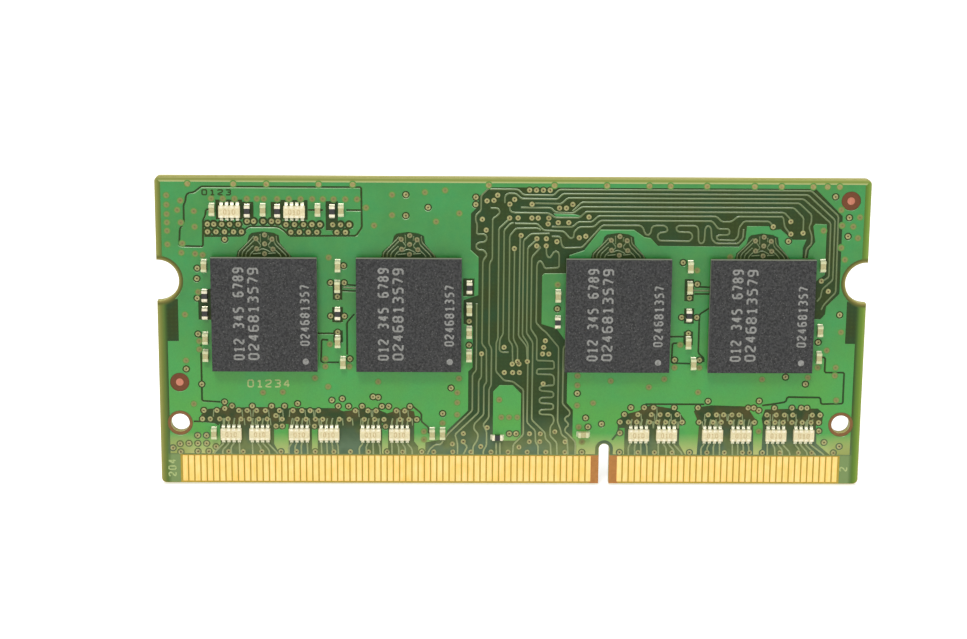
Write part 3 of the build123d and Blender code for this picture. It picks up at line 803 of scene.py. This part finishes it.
# Patches of copper inside the bare fields.
ISLANDS = (
    ((2.75, 20.6), (2.95, 20.85), (5.4, 20.85), (5.4, 14.2), (5.05, 14.3), (4.2, 15.45), (2.75, 15.9)),
    ((-1.8, 9.2), (-1.2, 9.85), (0.1, 9.85), (0.9, 9.0), (0.9, 4.8), (0.4, 4.3), (-1.8, 4.3)),
    ((3.72, 26.62), (5.75, 26.56), (6.3, 26.42), (6.15, 26.34), (3.98, 26.34)),
    ((-4.72, 15.6), (-4.72, 12.0), (-4.4, 12.0), (-4.4, 15.6)),
)
# Where a narrow gap parts one pour from the next.
GAP_LINES = (
    ((-29.4, 29.05), (-30.1, 28.5), (-30.7, 28.4), (-30.9, 28.0), (-30.9, 27.6), (-31.1, 27.3),
     (-31.1, 25.5), (-31.5, 25.0), (-31.6, 23.35), (-29.35, 23.3), (-29.3, 25.9), (-29.1, 26.2),
     (-29.0, 26.85), (-28.6, 26.9)),
    ((-29.4, 29.05), (-14.4, 29.05), (-14.35, 25.2), (-14.9, 24.4), (-21.2, 24.35), (-21.7, 24.9),
     (-22.3, 25.25), (-25.0, 25.25), (-25.4, 24.9), (-25.6, 24.35), (-29.2, 24.3)),
    ((-19.4, 26.85), (-18.0, 26.85)),
    ((-15.8, 26.85), (-14.4, 26.85)),
    ((-29.75, 15.0), (-29.75, 8.2), (-28.0, 8.1)),
    ((-18.6, 14.9), (-17.0, 14.9)),
    ((-17.6, 14.25), (-18.25, 14.3), (-18.3, 12.05), (-16.6, 12.05)),
    ((-15.8, 12.8), (-15.8, 16.0), (-15.1, 16.8)),
    ((-16.4, 19.1), (-14.9, 19.05)),
    ((-16.3, 19.7), (-14.9, 19.6)),
    ((15.0, 14.7), (16.5, 14.7)),
    ((15.95, 14.05), (15.35, 14.05), (15.3, 12.1), (17.1, 12.05)),
    ((18.9, 17.6), (17.85, 16.9), (17.85, 13.1), (18.4, 12.6), (18.4, 12.2)),
    ((17.4, 19.6), (18.9, 19.55)),
    ((17.3, 18.9), (18.9, 18.9)),
    ((29.7, 12.7), (30.1, 12.7), (30.1, 11.2), (32.0, 11.2), (32.0, 8.1), (29.9, 8.05), (29.8, 8.7),
     (26.6, 8.75), (26.45, 8.25), (25.0, 8.0), (24.2, 7.9)),
    ((-9.6, 7.8), (-8.7, 7.0), (-8.7, 6.2), (-8.0, 5.6), (-8.0, 5.0)),
    ((-30.6, 6.15), (-28.7, 6.15), (-28.2, 5.8)),
    ((12.9, 8.0), (18.6, 8.0)),
    ((9.75, 4.4), (10.3, 5.1), (10.4, 6.0)),
)
GAP_WIDTH = 0.17
TRACE_WIDTH = 0.16
LATCH_CLEARANCE, HOLE_CLEARANCE, MARK_CLEARANCE, KEY_CLEARANCE = 2.4, 1.22, 0.92, 0.86
FRONT_TRACES = (
    ((-2.45, 28.95), (-3.1, 28.3), (-3.1, 26.9), (-3.6, 26.4), (-3.6, 25.9), (-3.45, 25.5), (-3.5, 24.6),
     (-2.7, 24.6), (-2.5, 24.2), (-2.7, 23.85), (-3.3, 23.8), (-3.6, 23.5), (-3.4, 23.1), (-2.8, 23.05),
     (-2.5, 22.6), (-2.9, 22.0), (-2.92, 13.9), (-2.5, 13.4), (-2.45, 10.1), (-2.7, 9.8), (-2.7, 6.9),
     (-3.6, 5.95), (-3.65, 5.5), (-3.2, 4.9), (-3.3, 4.3), (-3.7, 3.7), (-3.7, 2.9)),
    ((-2.2, 27.1), (-1.5, 27.1), (-1.3, 26.7), (-1.6, 26.35), (-2.0, 26.1), (-2.0, 22.2), (-2.25, 21.8),
     (-2.25, 13.9), (-2.0, 13.5), (-2.0, 9.8), (-2.2, 9.5), (-2.2, 6.6), (-2.75, 5.9), (-2.4, 5.2),
     (-2.4, 3.8), (-2.7, 3.3), (-2.7, 2.9)),
    ((-0.5, 26.0), (-1.4, 25.15), (-1.4, 14.4), (-1.55, 14.1), (-1.55, 11.2), (-0.75, 10.3), (0.1, 10.2),
     (1.1, 9.4), (1.15, 4.9), (0.2, 3.9), (0.15, 2.9)),
    ((0.0, 25.68), (-0.3, 25.66), (-0.9, 24.98), (-0.9, 14.9), (-1.2, 14.4), (-1.25, 13.3), (-1.0, 13.1),
     (-0.35, 13.1)),
    ((2.55, 25.0), (2.3, 25.2), (0.2, 25.16), (-0.37, 24.45), (-0.35, 14.3), (0.0, 13.8), (0.05, 12.0)),
    ((0.1, 23.25), (0.1, 14.4), (0.5, 13.6), (0.5, 12.3)),
    ((0.62, 24.5), (0.58, 14.7), (1.35, 13.7), (1.45, 12.3)),
    ((3.4, 24.7), (1.65, 24.65), (0.95, 24.0), (0.95, 14.8), (1.5, 13.9), (1.5, 6.1), (2.3, 5.3),
     (2.35, 4.1), (2.6, 3.8), (2.6, 2.9)),
    ((2.2, 24.1), (1.35, 23.3), (1.35, 15.0), (1.95, 14.1), (1.95, 6.4), (3.25, 5.1), (3.3, 4.5),
     (3.8, 4.0), (3.85, 2.9)),
    ((2.2, 23.5), (2.6, 23.4), (1.75, 22.4), (1.75, 15.4), (2.35, 14.5), (2.35, 12.3), (4.0, 12.25),
     (4.05, 11.5), (2.4, 11.45), (2.35, 10.95), (3.9, 10.9), (4.05, 10.6), (4.05, 9.85), (2.75, 9.75),
     (2.6, 9.5), (2.75, 9.3), (3.95, 9.2), (4.05, 8.9), (3.95, 8.65), (2.8, 8.6), (2.6, 8.3), (2.8, 8.05),
     (3.95, 8.0), (4.05, 7.7), (3.95, 7.45), (2.8, 7.4), (2.6, 7.15), (2.8, 6.95), (3.9, 6.9), (4.1, 6.5),
     (4.05, 6.1), (3.75, 5.7), (3.75, 4.8), (4.4, 4.1), (4.45, 2.9)),
    ((3.1, 23.4), (3.15, 22.6), (3.4, 22.3), (3.6, 22.5), (3.85, 22.95), (4.15, 23.0), (4.35, 22.7),
     (4.35, 21.4), (3.0, 21.3), (2.8, 21.8), (2.5, 22.1), (2.25, 21.7), (2.25, 16.0), (2.8, 15.4),
     (3.2, 15.1), (4.45, 13.6), (4.45, 6.2), (4.75, 5.4), (4.85, 4.9), (5.4, 4.5), (5.5, 2.9)),
    ((5.25, 14.0), (4.9, 13.6), (4.9, 8.0), (5.65, 7.2), (5.55, 6.8), (5.2, 6.7), (5.1, 6.4), (5.4, 6.15),
     (5.55, 5.85), (5.2, 5.6), (5.15, 5.25), (5.5, 4.95), (6.2, 4.2), (6.2, 2.9)),
    ((-3.45, 17.9), (-3.45, 11.3), (-3.8, 10.9), (-3.8, 7.3), (-6.1, 5.0), (-6.4, 4.6)),
    ((-2.95, 12.8), (-2.95, 10.6), (-3.2, 10.3), (-3.2, 7.1), (-5.45, 4.9), (-5.2, 4.0), (-5.2, 2.9)),
    ((-6.6, 4.3), (-6.8, 3.9), (-7.4, 3.85), (-7.9, 3.4), (-8.1, 2.9)),
    ((-2.3, 28.92), (0.36, 28.9), (0.9, 28.38), (3.75, 28.36), (4.25, 28.9), (28.1, 28.9), (30.75, 26.5),
     (30.82, 19.1), (29.7, 17.85), (29.5, 17.4)),
    ((-0.86, 27.6), (-0.87, 28.25), (-0.58, 28.53), (0.18, 28.5), (0.7, 28.02), (4.1, 27.98), (4.6, 28.5),
     (27.8, 28.5), (30.45, 26.1), (30.48, 20.3), (29.5, 19.4), (29.38, 18.6), (29.05, 18.2)),
    ((2.0, 27.6), (4.5, 27.55), (5.05, 28.1), (27.4, 28.1), (30.05, 25.8), (30.1, 20.6), (29.5, 20.2)),
    ((5.55, 26.85), (6.4, 27.7), (27.0, 27.7), (28.2, 26.6), (28.2, 25.9), (28.0, 25.4), (28.3, 24.6),
     (28.3, 23.8), (27.85, 23.3), (27.75, 22.4)),
    ((0.65, 27.18), (3.5, 27.16), (3.9, 26.75), (5.6, 26.65), (6.4, 27.25), (26.5, 27.25), (27.45, 26.3),
     (27.45, 24.9)),
    ((-0.4, 27.2), (-0.35, 26.8), (0.0, 26.68), (3.3, 26.65), (3.9, 26.22), (6.2, 26.22), (6.8, 26.8),
     (25.6, 26.8), (26.2, 26.2), (26.25, 25.95)),
    ((3.6, 25.35), (5.6, 25.35), (6.1, 25.82), (7.4, 25.82), (8.0, 26.4), (19.2, 26.4), (19.7, 25.9),
     (20.6, 25.9), (21.2, 26.4), (25.5, 26.4), (25.7, 25.4), (26.2, 24.8)),
    ((0.1, 25.64), (2.25, 25.62), (2.8, 25.0), (4.75, 24.9), (5.3, 24.25), (5.65, 24.25), (5.75, 24.9),
     (6.2, 25.32), (7.6, 25.35), (8.2, 25.95), (18.8, 25.95), (19.4, 25.2), (20.4, 25.2), (20.5, 24.9),
     (20.4, 24.65), (19.35, 24.6), (19.2, 24.35), (19.4, 24.15), (21.0, 24.1), (21.3, 24.5),
     (21.35, 25.3), (21.8, 25.95), (24.2, 25.95), (24.6, 25.5)),
    ((3.6, 24.42), (4.42, 24.38), (4.6, 23.5), (4.8, 23.3), (6.5, 23.35), (8.4, 25.5), (12.0, 25.5),
     (12.3, 25.2), (12.4, 24.8), (12.65, 24.55), (12.95, 24.7), (13.1, 25.4), (13.4, 25.5), (14.3, 25.5),
     (14.6, 25.2), (14.5, 24.9), (13.8, 24.8), (13.6, 24.5), (13.8, 24.05), (16.7, 24.0), (17.0, 24.4),
     (16.8, 24.85), (15.6, 24.9), (15.35, 25.2), (15.55, 25.5), (17.3, 25.5), (17.5, 25.2),
     (17.55, 23.95), (17.85, 23.75), (18.1, 24.0), (18.15, 25.3), (18.4, 25.55), (18.7, 25.3),
     (18.8, 24.2), (19.2, 23.8), (21.3, 23.8), (21.75, 24.3), (21.8, 25.2)),
    ((17.1, 19.25), (18.9, 19.2)),
    ((-16.2, 19.4), (-14.9, 19.33)),
    ((-4.7, 4.1), (-4.25, 3.7), (-4.62, 2.9)),
    ((-1.47, 4.1), (-1.45, 2.9)),
    ((-1.1, 4.1), (-1.08, 2.9)),
)
# Over the middle of each chip, a fan of vias and thin traces.
FAN_VIAS = (
    (0.07, 24.44), (-0.74, 24.08), (0.76, 24.04), (0.06, 23.58), (-0.7, 23.1), (0.84, 23.07),
    (0.04, 22.62),
)
FAN_TRACES = (
    ((-0.95, 24.3), (-1.3, 23.9), (-2.42, 22.75), (-2.45, 22.25)),
    ((-0.95, 23.88), (-2.05, 22.75), (-2.1, 22.25)),
    ((-1.0, 23.4), (-1.7, 22.7), (-1.75, 22.25)),
    ((-0.92, 22.95), (-1.32, 22.55), (-1.35, 22.25)),
    ((1.15, 24.35), (1.22, 23.75), (2.4, 22.55), (2.45, 22.25)),
    ((0.92, 23.9), (1.05, 23.5), (2.05, 22.5), (2.1, 22.25)),
    ((1.02, 23.0), (1.55, 22.5), (1.6, 22.25)),
    ((-0.62, 23.86), (-0.25, 23.36), (-0.5, 23.16)),
    ((0.66, 23.8), (0.36, 23.4), (0.64, 23.14)),
    ((-0.55, 22.9), (-0.15, 23.12), (0.3, 22.96), (0.6, 22.76)),
    ((-1.08, 22.6), (-0.3, 22.66)),
    ((0.4, 22.64), (1.12, 22.7)),
    ((-0.35, 24.5), (-0.33, 23.7)),
    ((0.43, 24.36), (0.4, 23.95)),
)
FAN_TRACE_WIDTH = 0.11
FAN_OUTLINE = (
    (-2.65, 22.25), (-2.5, 22.85), (-1.6, 23.7), (-1.4, 24.4), (-1.15, 24.62), (-0.1, 24.78),
    (0.9, 24.64), (1.4, 24.4), (1.52, 23.65), (2.7, 22.25),
)


def fan_vias():
    return [(x + dx, z) for x in CHIP_X for dx, z in FAN_VIAS]


def array_traces(x, first_lean, last_lean):
    """The short lines from an array's terminals to the contacts below and the vias above."""
    lines = []
    for i in range(4):
        foot = x + ARRAY_PITCH * (i - 1.5)
        lean = first_lean + (last_lean - first_lean) * i / 3
        bend = 3.9 - min(abs(lean), 0.9)
        lines.append(((foot, 4.3), (foot, 3.98), (foot + lean, bend), (foot + lean + 0.03, 2.9)))
        lines.append(((foot, 5.6), (foot, 6.1), (foot + 0.1, 6.5)))
    return lines


def inside(outline, x, z):
    """Whether (x, z) is within a closed outline."""
    crossings = 0
    for (x0, z0), (x1, z1) in zip(outline, outline[1:] + outline[:1]):
        if (z0 > z) != (z1 > z) and x < x0 + (x1 - x0) * (z - z0) / (z1 - z0):
            crossings += 1
    return crossings % 2 == 1


def via_tails():
    """Short lines down from the vias above the arrays: one in three on the left, the others on the right."""
    tails = []
    for i, (x, z) in enumerate(ringed_vias()):
        hand = 1 if i % 3 else -1
        tail = ((x + 0.3 * hand, z + 0.08), (x + 0.36 * hand, z - 0.62))
        for cluster in CLUSTERS:
            if z > 5.9 and all(inside(cluster, *end) for end in tail):
                tails.append(tail)
    return tails


def thin_traces():
    """The fans above the chips, and the tails of the vias above the bottom arrays."""
    return [shifted(line, x) for x in CHIP_X for line in FAN_TRACES] + via_tails()


def cutouts():
    """Where no copper may be: round the notches, holes, alignment marks and contact windows."""
    shapes = []
    for hand in (-1, 1):
        shapes.append(disc_shape(hand * LATCH_X, LATCH_Z, LATCH_CLEARANCE, 40))
        shapes.append(disc_shape(hand * HOLE_X, HOLE_Z, HOLE_CLEARANCE, 32))
    shapes += [disc_shape(x, z, MARK_CLEARANCE, 28) for x, z in ALIGNMENT_MARKS]
    shapes.append(disc_shape(KEY_X, KEY_TOP, KEY_CLEARANCE, 28))
    shapes.append(box_shape(KEY_X - KEY_CLEARANCE, -0.1, KEY_X + KEY_CLEARANCE, KEY_TOP))
    shapes.append(box_shape(-34, -0.5, 34, WINDOW_TOP))
    return shapes


def artwork(fields, gap_lines, islands, vias, lines):
    """A face's copper as (kind, outline) shapes, each covering the ones before it."""
    bare = list(fields)
    bare += [stroke_shape(line, GAP_WIDTH) for line in gap_lines]
    bare += [shifted(FAN_OUTLINE, x) for x in CHIP_X]
    lines = list(lines)
    for array in ARRAYS:
        lines += array_traces(*array)
    shapes = [("pour", POUR_OUTLINE)]
    shapes += [("bare", outline) for outline in bare]
    shapes += [("pour", outline) for outline in islands]
    shapes += [("bare", clearance(x, z)) for x, z in vias]
    shapes += [("trace", stroke_shape(line, TRACE_WIDTH)) for line in lines]
    shapes += [("trace", stroke_shape(line, FAN_TRACE_WIDTH)) for line in thin_traces()]
    shapes += [("bare", outline) for outline in cutouts()]
    return shapes


def front_shapes():
    """The front's artwork."""
    fields = [TRACE_FIELD, *CLUSTERS]
    fields += [box_shape(*window) for window in PART_WINDOWS]
    return artwork(fields, GAP_LINES, ISLANDS, ringed_vias(), FRONT_TRACES)


# ---------------------------------------------------------------- the back's copper artwork
# Each bus is a centre line, how many traces it has, and how far apart they are.
BACK_BUSES = (
    (((-5.2, 2.9), (-5.2, 4.0), (-2.75, 6.5), (-2.75, 26.2), (-4.8, 28.25), (-28.5, 28.25), (-30.9, 25.9),
      (-30.9, 23.1)), 3, 0.42),
    (((-0.6, 2.9), (-0.6, 5.6), (0.4, 6.8), (0.4, 26.8)), 5, 0.42),
    (((5.0, 2.9), (5.0, 4.8), (3.3, 6.5), (3.3, 26.2), (5.3, 28.25), (28.6, 28.25), (31.0, 25.9),
      (31.0, 23.1)), 3, 0.42),
)
BACK_GAP_LINES = (
    ((-29.6, 10.2), (-20.2, 10.2), (-19.4, 9.4), (-6.2, 9.4), (-5.5, 8.7), (-5.5, 6.0)),
    ((6.0, 9.3), (15.6, 9.3), (16.2, 9.9), (28.8, 9.9), (29.6, 9.1), (32.4, 9.1)),
    ((-29.6, 23.2), (-29.6, 25.0), (-29.0, 25.6), (-5.6, 25.6), (-4.7, 24.7), (-4.7, 22.7)),
    ((4.9, 22.7), (4.9, 24.9), (5.6, 25.6), (12.2, 25.6)),
    ((25.6, 25.4), (27.6, 25.4), (28.4, 24.6), (28.4, 22.7)),
    ((-18.4, 14.8), (-17.3, 14.8), (-17.3, 12.6)),
    ((15.3, 12.9), (15.3, 19.4), (16.2, 19.4)),
    ((-15.2, 19.3), (-15.9, 19.3), (-15.9, 14.6), (-15.2, 14.6)),
    ((32.0, 14.3), (30.6, 14.3), (30.6, 10.4)),
)
# The windows round parts, from a part's middle: low x, low z, high x, high z. They are a little lopsided,
# so that no two outlines share an edge.
ARRAY_WINDOW = (-1.26, -0.93, 1.24, 0.93)
RESISTOR_WINDOW = (-0.5, -0.78, 0.51, 0.77)
BACK_TOP_ARRAY_X, BACK_TOP_ARRAY_Z = (14.6, 17.8, 21.0, 24.2), 26.8
BACK_RESISTOR_SPOTS = ((-16.7, 20.6), (-16.7, 13.6), (16.9, 20.6), (16.9, 13.6), (-1.6, 24.9), (2.4, 24.9))
MEANDER_WINDOW = (12.6, 23.0, 21.0, 25.4)
MEANDER_PITCH = 0.42


def bus_lines(points, count, pitch):
    """The centre lines of traces that run side by side."""
    lines = [[] for _ in range(count)]
    for point, aside, cosine in mitres([Vector(p) for p in points]):
        for place, line in enumerate(lines):
            line.append(point + aside / cosine * pitch * (place - (count - 1) / 2))
    return lines


def meanders():
    """Two snaking traces that fill the window over the third chip."""
    x0, z0, x1, z1 = MEANDER_WINDOW
    middle = (z0 + z1) / 2
    lines = []
    for low, high in ((z0 + 0.25, middle - 0.18), (middle + 0.18, z1 - 0.25)):
        line = []
        turns = int((x1 - x0 - 0.5) / MEANDER_PITCH)
        for turn in range(turns):
            x = x0 + 0.35 + turn * MEANDER_PITCH
            line += [(x, low), (x, high)] if turn % 2 else [(x, high), (x, low)]
        lines.append(line)
    return lines


def footprints(*names):
    """The X and Z box, in millimetres, of every separate solid or face in these nodes."""
    boxes = []
    for name in names:
        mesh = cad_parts[name].data
        parent = list(range(len(mesh.vertices)))

        def group(i):
            while parent[i] != i:
                parent[i] = parent[parent[i]]
                i = parent[i]
            return i

        for edge in mesh.edges:
            parent[group(edge.vertices[0])] = group(edge.vertices[1])
        places = {}
        for vertex in mesh.vertices:
            places.setdefault(group(vertex.index), []).append((vertex.co.x / MM, vertex.co.z / MM))
        for spots in places.values():
            xs, zs = zip(*spots)
            boxes.append((min(xs), min(zs), max(xs), max(zs)))
    return boxes


def clear_of(boxes, places, margin):
    """The places that are further than margin outside every box."""
    def covers(box, x, z):
        x0, z0, x1, z1 = box
        return x0 - margin < x < x1 + margin and z0 - margin < z < z1 + margin

    return [(x, z) for x, z in places if not any(covers(box, x, z) for box in boxes)]


def clear_of_buses(places, margin):
    """The places that are further than margin outside the back's buses."""
    kept = []
    for place in places:
        gaps = []
        for points, count, pitch in BACK_BUSES:
            for start, end in zip(points, points[1:]):
                nearest, part = intersect_point_line(place, start, end)
                nearest = nearest if 0 < part < 1 else Vector(start if part <= 0 else end)
                gaps.append((Vector(place) - nearest).length - count * pitch / 2)
        if min(gaps) > margin:
            kept.append(place)
    return kept


def on_the_back(vias):
    """The vias that no part and no bus of the back covers."""
    parts = footprints("solder_joints_back", "resistors_back", "capacitors_back", "resistor_arrays_back",
                       "identity_chip_body")
    return clear_of_buses(clear_of(parts, vias, 0.12), 0.3)


def window_round(x, z, window):
    x0, z0, x1, z1 = window
    return box_shape(x + x0, z + z0, x + x1, z + z1)


def back_shapes():
    """The back's artwork."""
    fields = list(CLUSTERS)
    fields += [stroke_shape(line, (count + 0.8) * pitch, 0) for line, count, pitch in BACK_BUSES]
    fields.append(box_shape(*MEANDER_WINDOW))
    fields += [window_round(x, BACK_TOP_ARRAY_Z, ARRAY_WINDOW) for x in BACK_TOP_ARRAY_X]
    fields += [window_round(x, z, RESISTOR_WINDOW) for x, z in BACK_RESISTOR_SPOTS]
    lines = [line for bus in BACK_BUSES for line in bus_lines(*bus)] + meanders()
    return artwork(fields, BACK_GAP_LINES, (), on_the_back(ringed_vias()), lines)


# ---------------------------------------------------------------- the copper as pieces
def add_artwork(word, side, shapes):
    """A face's pours as one piece, and its traces as another."""
    corners, kinds = partition(shapes)
    low, high = MASK_FACE - 0.001, MASK_FACE + COPPER_RISE
    for kind, piece, material in (("pour", "pour", POUR), ("trace", "traces", TRACE)):
        relief(f"copper_{piece}_{word}", side, corners, kinds[kind], low, high, material, COPPER_SLOPE)


def add_vias():
    """The vias of both faces, as one piece for each kind and face."""
    kinds = (
        ("ringed", ringed_vias(), RINGED_PROFILE, [VIA_RING, VIA_PLUG]),
        ("fan", fan_vias(), RINGED_PROFILE, [DIM_RING, DIM_PLUG]),
        ("joined", JOINED_VIAS, JOINED_PROFILE, [FAINT_RING, FAINT_PLUG, VIA_HALO]),
        ("rim", RIM_VIAS, JOINED_PROFILE, [PALE_RING, PALE_PLUG, VIA_HALO]),
    )
    for kind, places, profile, materials in kinds:
        via_piece(f"vias_{kind}_front", FRONT, places, profile, materials)
        via_piece(f"vias_{kind}_back", BACK, on_the_back(places), profile, materials)


# ---------------------------------------------------------------- lettering, digits only
# The strokes of each digit, in a cell 2 wide and 4 tall.
DIGITS = {
    "0": (((1, 4), (2, 4), (2, 0), (0, 0), (0, 4), (0.97, 4)),),
    "1": (((1.1, 4.1), (1.1, 0)), ((0.3, 3.1), (1.0, 3.9)), ((0.3, -0.03), (1.9, -0.03))),
    "2": (((0, 3.2), (0, 4), (2, 4), (2, 2.4), (0, 0.9), (0, 0), (2, 0)),),
    "3": (((0, 4), (2, 4), (2, 2.15), (0.7, 2.15)), ((1, 2.05), (1.97, 2.05), (1.97, 0), (0, 0))),
    "4": (((1.5, 0), (1.5, 4.1)), ((1.38, 3.9), (0.05, 1.35)), ((-0.1, 1.25), (2.1, 1.25))),
    "5": (((2, 4), (0, 4), (0, 2.3), (2, 2.3), (2, 0), (0, 0)),),
    "6": (((2, 4), (0, 4), (0, 0), (2, 0), (2, 1.2)), ((1.97, 1.0), (1.97, 2.2), (0.1, 2.2))),
    "7": (((0, 4), (2, 4), (2, 3.1), (0.8, 0)),),
    "8": (
        ((1, 2.15), (1.95, 2.15), (1.95, 4), (0.05, 4), (0.05, 2.15), (0.97, 2.15)),
        ((1.1, 2.05), (2, 2.05), (2, 0), (0, 0), (0, 2.05), (1.07, 2.05)),
    ),
    "9": (((0, 0), (2, 0), (2, 4), (0, 4), (0, 2.9)), ((0.03, 3.1), (0.03, 1.8), (1.9, 1.8))),
}
DIGIT_WIDTH = 0.74  # of a digit, over the pitch of its line
DIGIT_SOFTENING = 0.13  # of its corners, over its height


def digit_shapes(text, side, x, z, height, length, turn, weight=0.17):
    """The strokes of a line of evenly spaced digits centred on (x, z).

    turn is the angle from level to the reading direction, and weight the stroke's width over the height.
    """
    tall = height * (1 - weight)
    pitch = length / len(text)
    wide = pitch * DIGIT_WIDTH - height * weight
    cos, sin = math.cos(math.radians(turn)), math.sin(math.radians(turn))
    shapes = []
    for place, digit in enumerate(text):
        for stroke in DIGITS.get(digit, ()):
            points = []
            for u, v in stroke:
                along = (place + 0.5 - len(text) / 2) * pitch + (u / 2 - 0.5) * wide
                rise = (v / 4 - 0.5) * tall
                points.append((x - side * (along * cos - rise * sin), z + along * sin + rise * cos))
            shapes.append(("mark", stroke_shape(points, height * weight, height * DIGIT_SOFTENING)))
    return shapes


def add_marks(name, side, shapes, material, face, rise=0.004):
    """The marks of these shapes as one thin piece on a face."""
    corners, kinds = partition(shapes)
    relief(name, side, corners, kinds["mark"], face - 0.002, face + rise, material)


# A chip's lines: the digits, their place from the chip's middle and up the board, height and length.
CHIP_LINES = (
    ("012 345 6789", -2.42, 17.02, 1.06, 9.2),
    ("0246813579", -1.02, 17.02, 1.06, 9.2),
    ("024681357", 3.85, 16.9, 0.92, 6.1),
)


def mark_chips():
    """Laser-marked digits and the dot by the first ball of each chip."""
    for number, (side, x) in enumerate([(s, x) for s in (FRONT, BACK) for x in CHIP_X], start=1):
        shapes = []
        for text, dx, z, height, length in CHIP_LINES:
            shapes += digit_shapes(text, side, x - side * dx, z, height, length, 90)
        shapes.append(("mark", disc_shape(x - side * 3.9, 12.4, 0.3, 20)))
        add_marks(f"chip_{number}_marking", side, shapes, LASER, CHIP_FACE)


def number_contacts(side, last, first, suffix):
    """The numbers of a face's last and first contacts, at the ends of the row."""
    for word, text, x, length in (("last", last, -32.75, 1.9), ("first", first, 32.35, 0.65)):
        shapes = digit_shapes(text, side, x, 1.5, 0.8, length, 90)
        add_marks(f"pin_number_{word}{suffix}", side, shapes, PRINT, MASK_FACE, 0.02)


def mark_board():
    """The contact numbers, the identity chip's two rows, and the digits on the front's pour."""
    number_contacts(BACK, "203", "1", "_back")
    rows = digit_shapes("024", BACK, 0.3, 16.85, 0.55, 1.7, 0)
    rows += digit_shapes("13579", BACK, 0.3, 15.95, 0.55, 2.4, 0)
    add_marks("identity_chip_marking", BACK, rows, LASER, IDENTITY_FACE)
    number_contacts(FRONT, "204", "2", "")
    face = MASK_FACE + COPPER_RISE
    add_marks("batch_digits", FRONT, digit_shapes("01234", FRONT, -23.35, 9.95, 0.8, 4.3, 0), PRINT, face)
    add_marks("date_digits", FRONT, digit_shapes("0123", FRONT, -28.0, 28.5, 0.6, 3.0, 0, 0.22), MASK, face)


def mark_arrays():
    """The three small value digits on each resistor array of the front."""
    shapes = []
    for x, _, _ in ARRAYS:
        shapes += digit_shapes("010", FRONT, x, 4.95, 0.5, 1.2, 0)
    for x in TOP_ARRAY_X:
        shapes += digit_shapes("010", FRONT, x, 26.7, 0.5, 1.2, 0)
    add_marks("array_values", FRONT, shapes, FILM, ARRAY_FACE)


# ---------------------------------------------------------------- floor, lights and camera
def add_floor():
    """White paper that glows a little, so that it stays white right up to the board."""
    bpy.ops.mesh.primitive_plane_add(size=4.0, location=(0, 0, -0.0002))
    floor = bpy.context.object
    floor.name = "floor"
    shader = Shader("floor_paper", roughness=0.9)
    shade = shader.noise(0.02, 3.0)
    paper = shader.mix(shade, srgb(214, 214, 214), srgb(210, 210, 209))
    shader.surface.inputs["Emission Color"].default_value = (1.0, 1.0, 1.0, 1.0)
    shader.surface.inputs["Emission Strength"].default_value = 0.55
    floor.data.materials.append(shader.finish(paper))


def add_sun(name, azimuth, elevation, strength, width):
    """A broad soft light from far away. Azimuth 0 stands in front of the board, and 90 at its +X end."""
    data = bpy.data.lights.new(name, "SUN")
    data.energy = strength
    data.angle = math.radians(width)
    lamp = bpy.data.objects.new(name, data)
    lamp.rotation_euler = (math.radians(90 - elevation), 0, math.radians(azimuth))
    bpy.context.scene.collection.objects.link(lamp)


def add_lights():
    """A white room that is dimmer above the horizon, with a broad light overhead and one in front."""
    world = bpy.data.worlds.new("studio")
    world.use_nodes = True
    tree = world.node_tree
    direction = tree.nodes.new("ShaderNodeTexCoord")
    split = tree.nodes.new("ShaderNodeSeparateXYZ")
    ramp = tree.nodes.new("ShaderNodeValToRGB")
    background = tree.nodes["Background"]
    tree.links.new(direction.outputs["Generated"], split.inputs[0])
    tree.links.new(split.outputs["Z"], ramp.inputs[0])
    tree.links.new(ramp.outputs["Color"], background.inputs["Color"])
    levels = ((0.0, 1.0), (0.16, 1.0), (0.34, 0.42), (0.8, 0.42), (1.0, 0.8))
    fill_ramp(ramp, [(place, (level, level, level, 1.0)) for place, level in levels])
    background.inputs["Strength"].default_value = 1.01
    bpy.context.scene.world = world
    add_sun("key", -15, 52, 1.2, 14)
    add_sun("top", 10, 82, 1.3, 30)


def add_camera():
    """The camera looks down a little on the front face from close by."""
    azimuth, elevation, roll = math.radians(-1.2), math.radians(13.107), math.radians(0.488)
    target = Vector((-2.779, 0, 16.208)) * MM
    distance = 207.82 * MM
    level = Vector((math.sin(azimuth), -math.cos(azimuth), 0))
    back = level * math.cos(elevation) + Vector((0, 0, math.sin(elevation)))
    right = (-back).cross(Vector((0, 0, 1))).normalized()
    up = right.cross(-back)
    across = right * math.cos(roll) + up * math.sin(roll)
    upward = -right * math.sin(roll) + up * math.cos(roll)
    data = bpy.data.cameras.new("camera")
    data.lens, data.sensor_width = 80.86, 36.0
    data.clip_start, data.clip_end = 0.005, 10.0
    camera = bpy.data.objects.new("camera", data)
    axes = Matrix((across, upward, back)).transposed().to_4x4()
    camera.matrix_world = Matrix.Translation(target + back * distance) @ axes
    bpy.context.scene.collection.objects.link(camera)
    bpy.context.scene.camera = camera


# ---------------------------------------------------------------- everything
dress_nodes()
add_artwork("front", FRONT, front_shapes())
add_artwork("back", BACK, back_shapes())
add_vias()
mark_chips()
mark_board()
mark_arrays()
add_floor()
add_lights()
add_camera()
bpy.context.scene.view_settings.view_transform = "Standard"
